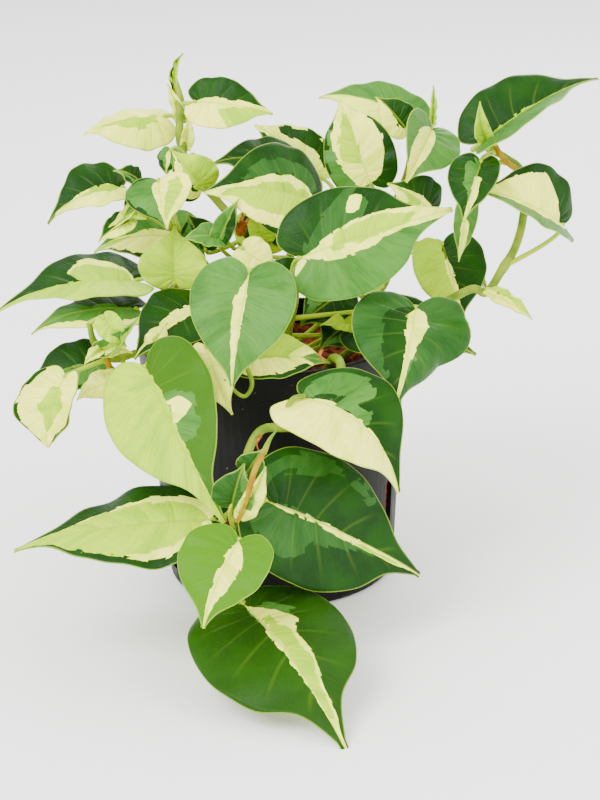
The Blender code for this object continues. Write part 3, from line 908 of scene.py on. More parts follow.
LEAVES = (
    # Trailing over the front rim
    Leaf("leaf_trailing_left", "vine_trailing", 0.8, base=(-30, -106, 68), tip=(-119, -102, 57),
         faces=(-10, 58), width=54, fold=(15, -10), full=0.3, tail=0.08, wave=1.6, zones=(
             stripe(CREAM, (0, -.16, .36), (.06, -.5, .6), (.16, -.84, .66), (.3, -.84, .64),
                    (.4, -.7, .66), (1, -.7, .7)),
             stripe(LIME, (0, -.05, .05), (.06, -.15, .3), (.16, -.6, .5), (.3, -.84, .56),
                    (.5, -.88, .66), (1, -.8, .7)))),
    Leaf("leaf_trailing_right", "vine_trailing", 0.76, base=(-6, -107, 76), tip=(63, -90, 30),
         faces=(12, 38), width=62, arch=4, fold=(10, 6), full=0.8, tail=0.1, zones=(
             # Painted sheen: dusky silvery zones laid where the glossy halves catch a soft
             # reflection.
             stripe(SAGE, (0, 0, .8), (.15, 0, .66), (.3, 0, .3), (.5, 0, .34), (.8, 0, .5)),
             stripe(SAGE, (0, -.9, -.45), (.2, -.92, -.7), (.4, -.92, -.8)),
             stripe(CREAM, (0, -.02, .03), (.3, -.02, .05), (.45, -.02, .14), (.6, -.02, .26),
                    (.75, 0, .5), (1, 0, .4)),
             stripe(LIME, (.5, .08, .2), (.65, .14, .34), (.8, .2, .5)))),
    Leaf("leaf_trailing_small", "vine_trailing", 0.9, base=(-18, -138, 71), tip=(-35, -160, 41),
         faces=(-15, 42), width=42, arch=4, fold=(20, 14), reach=(0.0, 0.25), olive=.75,
         full=0.7, zones=(
             stripe(CREAM, (0, -.1, .05), (.3, -.42, .08), (.6, -.55, .2), (1, -.5, .3)),
             stripe(DARK, (.3, .15, .45), (.5, .12, .5), (.6, .2, .4)))),
    Leaf("leaf_trailing_low", "vine_trailing", 1.0, base=(-18, -124, 35), tip=(22, -197, 2),
         faces=(-20, 62), width=68, fold=(-12, 4), sway=-2, olive=.1, full=1.2, tail=0.12, zones=(
             stripe(SILVER, (.06, -.2, 0), (.14, -.5, 0), (.2, -.3, 0)),
             stripe(CREAM, (0, -.06, .03), (.1, -.2, .02), (.2, -.42, .02), (.28, -.3, .04),
                    (.5, -.45, .06), (.8, -.7, .1), (1, -.5, .1)),
             stripe(LIME, (.16, -.14, -.03), (.35, -.28, -.02), (.6, -.45, 0), (.85, -.5, 0)))),
    Leaf("leaf_front_right", "vine_trailing", 0.3, base=(12, -84, 115), tip=(53, -104, 76),
         faces=(12, 38), width=48, arch=6, fold=(8, 22), sway=-8, full=0.9, tail=0.06, zones=(
             stripe(SILVER, (.02, -.5, 0), (.1, -.8, -.2), (.22, -.8, -.3), (.3, -.6, -.3)),
             stripe(SILVER, (.2, -.4, 0), (.4, -.35, 0), (.5, -.2, 0)),
             stripe(CREAM, (0, -.05, 1.3), (.3, -.06, 1.3), (1, -.1, 1.3)))),
    # Crown, front
    Leaf("leaf_front_heart", "vine_crown", 0.8, base=(-9, -58, 167), tip=(-19, -84, 122),
         faces=(-8, 30), width=48, arch=4, fold=(12, 12), full=0.3, tail=0.0, zones=(
             whole(SILVER),
             stripe(CREAM, (0, -.03, .03), (.15, -.04, .1), (.4, -.05, .22), (.65, -.06, .36),
                    (.85, -.15, .5), (1, -.3, .5)))),
    Leaf("leaf_crown_big", "vine_crown", 1.0, base=(14, -50, 170), tip=(85, -34, 186),
         faces=(5, 26), width=50, arch=4, fold=(6, 6), full=1.1, tail=0.14, zones=(
             band(SILVER, 0, 1.3),
             # Painted sheen: a dusky silvery zone near the base, where the blade catches a soft
             # reflection.
             stripe(SAGE, (.03, -.12, 0), (.1, -.34, 0), (.18, -.62, 0), (.25, -.88, 0),
                    (.34, -.88, -.1), (.38, -.8, -.2), (.40, -.4, -.2)),
             stripe(CREAM, (0, -.05, .1), (.1, -.12, .2), (.2, -.2, .25), (.35, -.4, .3),
                    (.5, -.66, .3), (.62, -.95, .35), (.75, -1.3, .6), (1, -1.3, 1.3)),
             stripe(CREAM, (.27, -.84, -.5), (.33, -.84, -.56)),
             stripe(CREAM, (.01, .2, .75), (.05, .25, .8)),
             stripe(LIME, (.2, -.16, .06), (.35, -.36, .1), (.5, -.56, .12), (.7, -.66, .1)))),
    Leaf("leaf_crown_right", "vine_crown", 0.7, base=(66, -48, 144), tip=(54, -78, 107),
         faces=(10, 36), width=56, fold=(45, 2), roll=(-150, -14), roll_from=0.2, full=0.5,
         tail=0.05, zones=(
             # Painted sheen: dusky silvery zones over both halves, where the glossy blade catches
             # a soft reflection.
             band(SAGE, -1.3, 0),
             stripe(SAGE, (0, .35, 1.3), (.35, .6, 1.3), (.6, .8, 1.3)),
             stripe(CREAM, (0, -.2, .06), (.2, -.3, .14), (.4, -.2, .1), (.7, -.2, .2),
                    (1, -.3, .5)),
             stripe(SILVER, (.5, -.3, .05), (.7, -.3, .2), (1, -.4, .3)))),
    Leaf("leaf_crown_under", "vine_crown", 0.35, base=(-14, -62, 128), tip=(26, -60, 124),
         faces=(0, 45), width=24, arch=3, zones=(
             stripe(SILVER, (.55, -1.3, 1.3), (1, -1.3, 1.3)),
             stripe(CREAM, (0, -1.3, 1.3), (.5, -1.3, 1.3), (.66, -1.3, .9)),
             stripe(LIME, (0, -1.3, 0), (.5, -1.3, .2)),
             stripe(DARK, (0, .8, 1.3), (.6, .8, 1.3)))),
    Leaf("leaf_crown_behind", "vine_crown", 0.5, base=(40, -30, 132), tip=(93, -50, 122),
         faces=(10, 50), width=38, arch=4, zones=(
             stripe(LIME, (.1, .25, .5), (.5, .3, .62), (1, .3, .6)),)),
    Leaf("leaf_crown_beige", "vine_crown", 0.25, base=(-30, -62, 134), tip=(-20, -79, 107),
         faces=(-15, 20), width=21, arch=3, zones=(whole(CREAM),)),
    # Low left
    Leaf("leaf_left_lime", "vine_low_left", 0.45, base=(-58, -62, 126), tip=(-25, -120, 72),
         faces=(-25, 32), width=54, arch=6, fold=(12, 12), full=0.5, tail=0.1, olive=.4, zones=(
             stripe(SILVER, (.24, -.66, 0), (.36, -.72, 0), (.46, -.6, 0), (.52, -.2, 0)),
             stripe(CREAM, (.26, -.4, -.05), (.3, -.56, -.2), (.34, -.46, -.1), (.4, -.2, 0)),
             stripe(LIME, (0, -.06, 1.3), (.3, -.12, 1.3), (.5, -.2, 1.3), (.8, -.35, 1.3),
                    (1, -.5, 1.3)))),
    Leaf("leaf_left_cream", "vine_low_left", 0.75, base=(-96, -46, 118), tip=(-106, -58, 88),
         faces=(-20, 45), width=30, fold=(4, 4), roll=(50, 50), full=3.2, tail=0.0, zones=(
             whole(CREAM),
             stripe(LIME, (.15, -.1, .25), (.4, -.35, .35), (.7, -.3, .15), (.8, -.1, .1)),
             band(DARK, -1.3, -.9),
             stripe(DARK, (0, .93, 1.3), (1, .9, 1.3)))),
    Leaf("leaf_left_dark", "vine_low_left", 0.85, base=(-80, -12, 113), tip=(-119, -14, 101),
         faces=(-20, 50), width=30, arch=6, reach=(0.4, -0.5), zones=(
             stripe(SILVER, (0, -.9, .0), (1, -.9, .1)),)),
    Leaf("leaf_left_pale", "vine_low_left", 0.7, base=(-73, -34, 111), tip=(-93, -37, 104),
         faces=(-10, 50), width=16, arch=2, reach=(0.7, 0.0), zones=(whole(CREAM),)),
    Leaf("leaf_left_young", "vine_low_left", 1.0, base=(-77, -40, 143), tip=(-67, -44, 130),
         faces=(-10, 30), width=14, arch=4, fold=(35, 35), zones=(
             whole(LIME), whole(CREAM))),
    Leaf("leaf_left_under", "vine_low_left", 0.3, base=(-38, -57, 126), tip=(-35, -75, 86),
         faces=(-10, 10), width=18, arch=2, reach=(0.3, 0.3), olive=.6),
    # Middle left
    Leaf("leaf_mid_left_long", "vine_mid_left", 1.0, base=(-64, 2, 149), tip=(-130, -14, 142),
         faces=(-5, 72), width=40, arch=6, fold=(15, 18), reach=(0.5, 0.0), full=0.4,
         tail=0.1, zones=(
             stripe(CREAM, (0, -.9, .2), (.2, -1, .8), (.36, -1, .5), (.45, -1, .2)),
             stripe(LIME, (0, -1.3, .1), (.25, -1.3, .62), (.4, -1.3, .3), (.6, -1.3, .1),
                    (1, -1.3, .2)),
             stripe(DARK, (.38, .1, .6), (.5, .05, .62), (.64, .15, .5)))),
    Leaf("leaf_mid_left_edge", "vine_mid_left", 0.8, base=(-64, -8, 138), tip=(-114, -14, 131),
         faces=(-5, 75), width=26, fold=(-10, 10), zones=(
             whole(SILVER), stripe(CREAM, (.0, -1.3, -.7), (1, -1.3, -.8)),
             stripe(DARK, (0, .1, 1.3), (.4, .2, 1.3)))),
    Leaf("leaf_mid_left_broad", "vine_mid_left", 0.55, base=(-32, -24, 142),
         tip=(-64, -46, 126), faces=(-15, 50), width=38, arch=4, zones=(
             stripe(CREAM, (0, -.1, .15), (.5, -.2, .3), (1, -.3, .4)),)),
    Leaf("leaf_mid_left_lime", "vine_mid_left", 0.7, base=(-45, -6, 149), tip=(-44, 5, 175),
         faces=(-5, 0), width=36, arch=3, fold=(35, 30), full=-0.5, zones=(
             whole(LIME), stripe(CREAM, (0, -1.3, -.8), (1, -1.3, -.6)))),
    Leaf("leaf_mid_left_back", "vine_mid_left", 0.6, base=(-36, 24, 162), tip=(-86, 34, 157),
         faces=(-10, 62), width=34, arch=6, fold=(10, 20), zones=(
             stripe(SILVER, (0, .1, 1.3), (1, .3, 1.3)),
             stripe(CREAM, (0, -.8, .2), (.5, -.9, .25), (1, -1, .4)),
             stripe(LIME, (.6, -.6, .1), (1, -1.3, .4)))),
    # Top left
    Leaf("leaf_top_left_cream", "vine_top_left", 0.8, base=(-47, 36, 221), tip=(-85, 22, 218),
         faces=(0, 45), width=32, arch=3, fold=(-20, -30), reach=(0.5, 0.1), zones=(
             whole(CREAM),
             stripe(LIME, (.1, -.25, .1), (.4, -.45, .1), (.75, -.2, .1), (.85, 0, .1)))),
    Leaf("leaf_top_left_hood", "vine_top_left", 0.92, base=(-32, 27, 229), tip=(5, 22, 223),
         faces=(0, 30), width=26, arch=3, zones=(
             stripe(CREAM, (0, -.1, 1.3), (.5, -.35, 1.3), (1, -1.2, 1.3)),
             stripe(LIME, (.3, .35, 1.3), (1, -.2, 1.3)))),
    Leaf("leaf_top_left_fold", "vine_top_left", 0.64, base=(-30, 12, 190), tip=(-43, 10, 209),
         faces=(-10, 30), width=24, arch=4, fold=(20, 20), full=1.0, zones=(
             band(LIME, -.3, 1.3),
             stripe(CREAM, (0, -.9, -.4), (1, -.8, -.4)))),
    Leaf("leaf_far_left_hood", "vine_far_left", 1.0, base=(-68, 14, 192), tip=(-104, 2, 180),
         faces=(-5, 70), width=34, fold=(15, 30), full=0.4, tail=0.08, zones=(
             stripe(CREAM, (0, -1.3, .1), (.5, -1.3, .15), (.85, -1.3, .1)),
             stripe(LIME, (.05, -.25, .1), (.6, -.25, .1), (.85, -.2, 0)))),
    Leaf("leaf_far_left_disc", "vine_far_left", 0.75, base=(-50, -2, 198), tip=(-47, -16, 178),
         faces=(-10, 30), width=32, arch=3, fold=(15, 15), zones=(
             stripe(SILVER, (0, .1, .85), (1, .1, .8)),
             stripe(CREAM, (0, -1.3, .15), (1, -1.3, .3)),
             stripe(LIME, (.1, -.7, -.3), (.8, -.7, -.2)))),
    Leaf("leaf_far_left_curl", "vine_far_left", 0.88, base=(-64, -2, 180), tip=(-80, -6, 171),
         faces=(-10, 30), width=12, arch=2, fold=(20, 20), reach=(0.5, 0.1), zones=(
             stripe(CREAM, (0, -1.3, -.1), (1, -1.3, 0)),)),
    # Back and middle
    Leaf("leaf_back_big", "vine_back", 1.0, base=(23, 10, 182), tip=(-28, -6, 193),
         faces=(5, 42), width=50, arch=7, fold=(8, 12), full=0.8, zones=(
             # Painted sheen: a dusky silvery zone where the glossy blade catches a soft
             # reflection.
             stripe(SAGE, (.1, .3, .62), (.4, .4, .7), (.7, .4, .5)),
             stripe(CREAM, (0, -.9, .2), (.2, -1, .34), (.5, -1.0, .38), (.8, -1.1, .4),
                    (1, -1.3, .5)),
             stripe(LIME, (.1, -.5, .1), (.4, -.7, .2), (.8, -.8, .1)),
             stripe(DARK, (0, -1.3, -.84), (.3, -1.3, -.9), (.5, -1.3, -1)))),
    Leaf("leaf_back_high", "vine_back", 0.9, base=(28, 52, 184), tip=(-4, 64, 210),
         faces=(5, 30), width=30, reach=(0.7, 0.0), zones=(
             whole(CREAM), stripe(DARK, (.1, .4, .9), (.6, .5, 1)),
             stripe(DARK, (.4, -1.3, -.6), (.8, -1.3, -.5)))),
    Leaf("leaf_back_dark", "vine_back", 0.8, base=(16, 38, 193), tip=(-26, 34, 198),
         faces=(5, 55), width=28),
    Leaf("leaf_back_lime", "vine_back", 0.6, base=(-4, 8, 162), tip=(2, 20, 184),
         faces=(-5, -10), width=28, arch=3, zones=(whole(LIME),)),
    Leaf("leaf_back_small", "vine_top_left", 0.36, base=(-20, -14, 172), tip=(-40, -16, 173),
         faces=(-5, 50), width=14, arch=2, fold=(15, 15), zones=(whole(SILVER),)),
    Leaf("leaf_back_cream", "vine_back", 0.45, base=(-12, -20, 168), tip=(3, -26, 156),
         faces=(0, 30), width=18, arch=2, zones=(whole(CREAM),)),
    Leaf("leaf_back_rear", "vine_back", 0.7, base=(14, 54, 160), tip=(-6, 112, 134),
         faces=(190, 55), width=58, arch=8, fold=(12, 12), zones=(
             stripe(SILVER, (0, 0, .8), (.5, 0, .6), (.7, 0, .3)),
             stripe(CREAM, (0, -.05, .1), (.5, -.2, .2), (1, -.5, .5)))),
    Leaf("leaf_back_rear_right", "vine_back", 0.4, base=(28, 54, 134), tip=(56, 96, 102),
         faces=(160, 48), width=50, arch=7, fold=(12, 12), zones=(
             stripe(LIME, (0, -.1, .3), (.5, -.3, .9), (1, -.5, 1.3)),)),
    Leaf("leaf_back_rear_left", "vine_back", 0.3, base=(-20, 58, 130), tip=(-46, 104, 100),
         faces=(205, 50), width=48, arch=7, fold=(12, 12), zones=(
             stripe(CREAM, (0, -.4, .05), (.5, -.6, .1), (1, -.8, .3)),
             stripe(LIME, (.2, -.4, .0), (.8, -.5, .1)))),
    Leaf("leaf_rear_side", "vine_top_right", 0.35, base=(66, 36, 148), tip=(112, 56, 120),
         faces=(120, 50), width=46, arch=7, fold=(12, 12), zones=(
             stripe(SILVER, (0, -.8, 0), (.6, -.7, 0)),
             stripe(CREAM, (0, -.1, .05), (.5, -.2, .3), (1, -.2, .5)))),
    Leaf("leaf_rear_left_side", "vine_far_left", 0.4, base=(-50, 34, 146), tip=(-98, 46, 118),
         faces=(250, 50), width=46, arch=7, fold=(12, 12), zones=(
             stripe(CREAM, (0, -.1, .1), (.5, -.1, .5), (1, -.2, .8)),)),
    # Top right
    Leaf("leaf_top_right_upright", "vine_top_right", 0.6, base=(50, 12, 189), tip=(37, 28, 227),
         faces=(-5, 5), width=34, arch=3, fold=(12, 12), sway=0, full=1.0, zones=(
             stripe(SILVER, (0, -.9, -.3), (.5, -1, -.75), (.7, -1, -.9)),
             stripe(CREAM, (0, -.35, .3), (.3, -.7, .85), (1, -1.2, 1.2)),
             stripe(LIME, (.25, -.5, -.05), (.5, -.6, .1), (.8, -.5, .3)))),
    Leaf("leaf_top_right_sage", "vine_top_right", 0.98, base=(76, 40, 214), tip=(28, 52, 225),
         faces=(5, 45), width=24, arch=6, reach=(0.7, 0.0), zones=(
             whole(SILVER), stripe(CREAM, (.2, -1.3, -.2), (.6, -1.3, 0), (1, -1.3, .6)))),
    Leaf("leaf_top_right_dark", "vine_top_right", 0.9, base=(69, 28, 211), tip=(55, 32, 227),
         faces=(0, 30), width=18, arch=2, reach=(0.7, 0.0), zones=(
             stripe(CREAM, (0, -1.3, -.3), (1, -1.3, 0)),)),
    Leaf("leaf_top_right_wing", "vine_top_right", 1.0, base=(80, 14, 214), tip=(66, -8, 194),
         faces=(10, 30), width=34, arch=3, fold=(10, 50), zones=(
             whole(SILVER),
             stripe(CREAM, (0, -.15, .15), (.3, -.3, .5), (.7, -.5, 1), (1, -1, 1.3)))),
    Leaf("leaf_top_right_lower", "vine_top_right", 0.7, base=(78, 0, 177), tip=(58, -2, 192),
         faces=(10, 30), width=26, arch=3, zones=(
             stripe(CREAM, (0, -1.3, .2), (1, -1.3, .3)),
             stripe(LIME, (.3, -.5, .0), (.8, -.4, .1)))),
    # Far right
    Leaf("leaf_far_right_big", "vine_far_right", 1.0, base=(99, -27, 214), tip=(155, -8, 239),
         faces=(0, 60), width=44, fold=(15, 45), reach=(1.0, 0.0), full=0.5, tail=0.1, zones=(
             stripe(SILVER, (0, .08, 1.3), (1, .1, 1.3)),
             stripe(LIME, (0, -.03, .05), (.5, -.04, .12), (1, -.1, .2)))),
    Leaf("leaf_far_right_hanging", "vine_far_right", 0.97, base=(98, -34, 207),
         tip=(88, -48, 183), faces=(-5, 20), width=26, arch=3, fold=(50, 5),
         reach=(0.3, 0.3), zones=(
             stripe(SILVER, (.1, -.1, .5), (.4, -.2, .4), (.6, -.6, .2), (1, -.8, .2)),
             stripe(CREAM, (.3, -.3, 0), (.5, -.6, .05), (.8, -.9, .2), (1, -1, .4)))),
    Leaf("leaf_far_right_curled", "vine_far_right", 0.9, base=(94, -16, 186),
         tip=(88, -24, 158), faces=(-5, 20), width=11, arch=2, fold=(15, 15),
         reach=(0.8, -0.2), zones=(
             whole(SILVER), stripe(CREAM, (.3, -.5, .3), (1, -1.3, 1.3)))),
    Leaf("leaf_far_right_cream", "vine_far_right", 0.6, base=(135, -34, 176),
         tip=(96, -42, 196), faces=(0, 45), width=44, fold=(45, 15), full=0.9, zones=(
             stripe(SILVER, (0, -1.3, -.3), (1, -1.3, -.4)),
             stripe(CREAM, (.06, -.45, .05), (.25, -.5, .8), (1, -.6, 1)))),
    Leaf("leaf_far_right_inner", "vine_top_right", 0.42, base=(83, 4, 160),
         tip=(90, -10, 124), faces=(10, 20), width=36, arch=3, fold=(15, 15), zones=(
             stripe(LIME, (0, .1, 1.3), (.6, .1, 1.3), (1, -.2, 1.3)),
             stripe(CREAM, (.2, -.05, .2), (.6, -.2, .2), (1, -.8, .2)))),
)


# Buds, sheaths and small young leaves, which the plant's model leaves out
GROWTH = (
    young("bud_top_left", (-41, 38, 231), (-37, 44, 250), (-10, 10), 6, whole(LIME),
          stripe(DARK, (0, -1.3, -.6), (1, -1.3, -.5)), fold=(62, 62), sway=-2, form=Form.SPEAR),
    young("sheath_top_left", (-38, 37, 217), (-45, 35, 236), (-10, 10), 8, whole(CREAM),
          band(LIME, -.4, .2), fold=(50, 50), sway=1, form=Form.SPEAR),
    young("sheath_top_low", (-38, 31, 205), (-35, 30, 221), (10, 10), 8, whole(CREAM),
          fold=(45, 45), form=Form.SPEAR),
    young("young_top_disc", (-44, 13, 209), (-47, 10, 197), (-20, 25), 11, band(SILVER, -.8, .8),
          stripe(CREAM, (0, -.2, .2), (1, -.3, .3)), vine="vine_top_left", station=0.62),
    young("young_far_left_dark", (-59, 8, 196), (-70, 3, 203), (-10, 45), 11,
          band(SILVER, -.9, -.1), vine="vine_far_left", station=0.85),
    young("young_far_left_curl", (-59, 2, 190), (-77, -5, 175), (-10, 25), 9, whole(CREAM),
          band(LIME, -.3, .5), vine="vine_far_left", station=0.8, fold=(40, 40), roll=(40, 40),
          sway=-3, form=Form.SPEAR),
    young("young_far_left_fan", (-54, 0, 189), (-68, -5, 181), (-10, 30), 18,
          band(SILVER, .1, .8), band(LIME, -.9, -.3), vine="vine_far_left", station=0.7),
    young("young_mid_sage", (-23, -16, 171), (-13, -14, 190), (-5, 20), 11, whole(SILVER),
          band(DARK, .2, 1.3), vine="vine_back", station=0.4, fold=(25, 25)),
    young("bud_top_right", (81, 23, 214), (82, 24, 232), (0, 10), 5, whole(LIME), fold=(62, 62),
          form=Form.SPEAR),
    young("sheath_top_right", (71, 12, 193), (75, 16, 213), (0, 10), 6, whole(CREAM),
          band(LIME, -.3, .3), fold=(50, 50), form=Form.SPEAR),
    young("sheath_far_right", (104, -24, 211), (98, -33, 233), (-10, 10), 10, whole(LIME),
          band(CREAM, -1.3, -.2), fold=(50, 40), sway=-2, form=Form.SPEAR),
    young("young_far_right", (117, -22, 196), (130, -28, 195), (0, 40), 11, whole(CREAM),
          band(LIME, -.3, .1), vine="vine_far_right", station=0.88),
    young("sheath_low_right", (100, -25, 144), (121, -36, 133), (10, 40), 9, whole(CREAM),
          band(LIME, -.9, -.3), fold=(30, 30), wave=1.0, form=Form.SPEAR),
    young("young_left_cream", (-55, -44, 129), (-48, -42, 140), (-10, 20), 11, whole(CREAM),
          band(LIME, -.2, .3), vine="vine_low_left", station=0.35),
    young("young_left_beak", (-78, -39, 127), (-62, -46, 144), (-10, 35), 15, whole(SILVER),
          band(LIME, -.4, .6), fold=(30, 40), roll=(40, 30), sway=4),
    young("young_left_low", (-77, -40, 128), (-65, -48, 129), (0, 40), 9, whole(CREAM),
          band(SILVER, .1, 1.3)),
    young("sheath_left", (-78, -39, 128), (-87, -44, 123), (-20, 20), 7, whole(CREAM),
          band(LIME, -.3, .3), fold=(40, 40), form=Form.SPEAR),
    # Painted sheen: these two young leaves are coated in dusky silvery green for the soft
    # reflection on them.
    young("young_trailing_high", (-14, -111, 91), (-6, -113, 102), (0, 20), 13, whole(SAGE),
          fold=(15, 15)),
    young("young_trailing_fold", (-21, -117, 78), (-15, -118, 97), (-10, 20), 20, whole(SAGE),
          band(SILVER, .3, 1.3), vine="vine_trailing", station=0.9, fold=(20, 20),
          reach=(0.2, 0.0)),
    young("young_trailing_cream", (-18, -120, 73), (-5, -121, 96), (20, 10), 11, whole(CREAM),
          band(LIME, -.6, 0), fold=(30, 30), form=Form.SPEAR),
    young("inner_dark_high", (35, -22, 146), (13, -30, 133), (0, 40), 24, band(SILVER, .3, .7),
          vine="vine_crown", station=0.3, full=0.8),
    young("inner_dark_low", (39, -18, 132), (22, -32, 122), (5, 35), 24, band(SILVER, -.9, -.2),
          vine="vine_crown", station=0.2, full=0.8),
    young("inner_lime", (39, -30, 132), (23, -37, 135), (0, 40), 10, whole(LIME),
          vine="vine_crown", station=0.2),
    young("inner_left_dark", (12, -26, 150), (-3, -22, 162), (0, 40), 22, band(LIME, -.2, .2),
          vine="vine_crown", station=0.4),
    young("fill_lime", (-2, 2, 166), (-8, 8, 184), (0, 15), 17, whole(LIME),
          band(DARK, -1.3, -.7), vine="vine_back", station=0.7),
    young("fill_dark", (1, 4, 166), (10, 10, 182), (0, 15), 18, band(LIME, -.9, -.4),
          vine="vine_back", station=0.75),
    young("fill_left", (-30, 4, 162), (-38, 10, 179), (-5, 20), 20, band(SILVER, -.9, -.1),
          vine="vine_top_left", station=0.4),
)


@dataclass(frozen=True)
class Runner:
    """A thin living strand: its finish, its points and its radii at both ends, in mm."""

    name: str
    finish: TissueFinish
    route: tuple
    radii: tuple


RUNNERS = (
    Runner("spike_sheath", SHEATH,
           ((-19, -119, 72), (-14, -123, 84), (-10, -125, 97), (-5, -124, 106)), (1.6, 1.1)),
    Runner("spike_tip", STEM, ((-6, -124, 104), (-3, -123, 110), (0, -121, 113)), (1.5, 0.3)),
    Runner("orange_stem", SHEATH,
           ((104, -24, 215), (109, -26, 206), (118, -22, 198), (120, -19, 194)), (1.3, 1.5)),
    Runner("petiole_loop", STEM,
           ((-17, -66, 133), (-12, -72, 126), (-10, -74, 119), (-13, -75, 114), (-17, -76, 116),
            (-22, -74, 122)), (1.1, 0.9)),
    Runner("front_loop", STEM,
           ((13, -85, 116), (8, -88, 116), (5, -89, 111), (8, -88, 106), (13, -86, 106),
            (17, -84, 109)), (1.2, 1.3)),
    Runner("orange_left", SHEATH,
           ((-78, -38, 132), (-78, -38, 126), (-76, -36, 118)), (1.3, 1.5)),
    Runner("root_far_right", ROOT,
           ((102, -22, 142), (104, -25, 141), (106, -29, 144)), (0.8, 0.2)),
    Runner("root_crown", ROOT, ((22, -62, 130), (21, -65, 128), (23, -66, 125)), (1.0, 0.3)),
    Runner("root_top_left", ROOT, ((-37, 27, 200), (-40, 24, 199), (-43, 22, 200)), (0.6, 0.2)),
    Runner("root_top_left_b", ROOT, ((-38, 29, 202), (-34, 27, 204), (-32, 26, 203)), (0.6, 0.2)),
    Runner("root_far_left", ROOT, ((-42, 12, 185), (-45, 8, 180), (-47, 6, 182)), (0.5, 0.15)),
    Runner("root_node_a", ROOT, ((-13, -8, 172), (-15, -12, 179), (-16, -14, 183)), (1.9, 0.3)),
    Runner("root_node_b", ROOT, ((-13, -8, 172), (-12, -13, 179), (-11, -14, 184)), (1.9, 0.3)),
    Runner("root_node_c", ROOT, ((-12, -8, 172), (-10, -12, 178), (-8, -13, 181)), (1.6, 0.3)),
    Runner("root_trailing", ROOT, ((-7, -93, 101), (-9, -97, 99), (-8, -98, 95)), (0.8, 0.2)),
    Runner("root_low_left", ROOT,
           ((-50, -34, 125), (-51, -38, 121), (-50, -40, 118)), (0.7, 0.2)),
)


@dataclass
class Foliage:
    """Every leaf: those that the plant's model counts as pieces, and the small ones."""

    leaves: tuple = LEAVES
    growth: tuple = GROWTH
    finish: LeafTissue = LeafTissue()

    def build(self, stems: dict[str, np.ndarray]) -> None:
        """Builds the leaves.

        Args:
            stems: Vine name to its path.
        """
        tissue = self.finish.material()
        for number, leaf in enumerate(self.leaves + self.growth):
            leaf.seed = number + 1
            node = leaf.name if leaf in self.leaves else None
            built = leaf.build(stems, tissue, node)
            log.info("leaf %s: %d faces", built.name, len(built.data.polygons))


@dataclass
class Strands:
    """Petiole loops, sheath spikes and aerial roots."""

    strands: tuple = RUNNERS
    steps: int = 5

    def build(self) -> None:
        """Builds each strand as a tapering tube."""
        finishes: dict[str, bpy.types.Material] = {}
        for strand in self.strands:
            path = smooth_path(strand.route, self.steps)
            radii = np.linspace(*strand.radii, len(path)) * MM
            piece = tube(strand.name, path, radii)
            if strand.finish.name not in finishes:
                finishes[strand.finish.name] = strand.finish.material()
            dress(piece, finishes[strand.finish.name])
            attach(piece, BODY)
            log.info("strand %s", strand.name)


@dataclass
class Stems:
    """The vines, with a slight swelling at each leaf node."""

    vines: tuple = VINES
    steps: int = 6
    swelling: float = 0.22
    swelling_length: float = 0.003
    taper: tuple = ((0, 0.9, 1), (1.0, 0.92, 0.6))

    def paths(self) -> dict[str, np.ndarray]:
        """Vine name to its centre line in metres."""
        return {vine.name: smooth_path(vine.route, self.steps) for vine in self.vines}

    def build(self, stems: dict[str, np.ndarray]) -> None:
        """Builds each vine as a tapering tube.

        Args:
            stems: Vine name to its path.
        """
        material = STEM.material()
        for vine in self.vines:
            path = stems[vine.name]
            along = travelled(path)
            radii = np.full(len(path), vine.diameter / 2 * MM)
            radii *= np.interp(along / along[-1], *self.taper)
            for leaf in LEAVES:
                if leaf.vine == vine.name:
                    away = (along - leaf.station * along[-1]) / self.swelling_length
                    radii *= 1 + self.swelling * np.exp(-away ** 2)
            stem = tube(vine.name + "_living", path, radii, 4)
            dress(stem, material)
            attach(stem, BODY)
            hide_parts(vine.name)
            log.info("vine %s", vine.name)


@dataclass
class Granulate:
    """Fired clay pebbles on top of the fill, on a jittered triangular grid, in metres."""

    reach: float = 0.0575
    pitch: float = 0.0078
    level: float = 0.1052
    pebble: float = 0.0044
    row_share: float = 0.87
    jitter: float = 0.0012
    sizes: tuple = (0.75, 1.15)
    stretches: tuple = (0.8, 1.15)
    lifts: tuple = (-0.001, 0.0022)
    full_turn: float = 6.28
    seed: int = 7

    def build(self) -> None:
        """Models one pebble, copies it over the fill's top and joins the copies."""
        rng = np.random.default_rng(self.seed)
        # The clay's darkened colours are painted shade under the foliage, on the pebbles and on
        # the fill below them.
        material = LECA_IN_PAINTED_SHADE.material()
        dress(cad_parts["clay_granulate"], material)
        deselect()
        bpy.ops.mesh.primitive_ico_sphere_add(subdivisions=2, radius=1.0, location=(0, 0, 0))
        first = active_mesh()
        count = int(self.reach / self.pitch) + 1
        copies = []
        for i in range(-count, count + 1):
            for j in range(-count, count + 1):
                x = (i + 0.5 * (j % 2)) * self.pitch + rng.uniform(-1, 1) * self.jitter
                y = j * self.pitch * self.row_share + rng.uniform(-1, 1) * self.jitter
                size = self.pebble * rng.uniform(*self.sizes)
                stretch = rng.uniform(*self.stretches, 3)
                turn = rng.uniform(0, self.full_turn, 3)
                lift = rng.uniform(*self.lifts)
                if math.hypot(x, y) > self.reach:
                    continue
                copy = first.copy()
                copy.data = first.data.copy()
                bpy.context.scene.collection.objects.link(copy)
                spin = Matrix.Rotation(turn[0], 4, "X") @ Matrix.Rotation(turn[1], 4, "Z")
                copy.data.transform(Matrix.Translation((x, y, self.level + lift)) @ spin
                                    @ Matrix.Diagonal((*(size * stretch), 1.0)))
                copies.append(copy)
        bpy.data.objects.remove(first)
        pebbles = join(copies)
        pebbles.name = "granulate_pebbles"
        dress(pebbles, material)
        pebbles.data.shade_smooth()
        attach(pebbles, BODY)
        log.info("granulate: %d pebbles", len(copies))


@dataclass
class CulturePot:
    """The pot keeps its modelled shape and gets its finish."""

    finish: MouldedPlastic = MouldedPlastic()

    def dress(self) -> None:
        """Gives the pot its plastic."""
        dress(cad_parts["culture_pot"], self.finish.material())
        log.info("culture pot dressed")


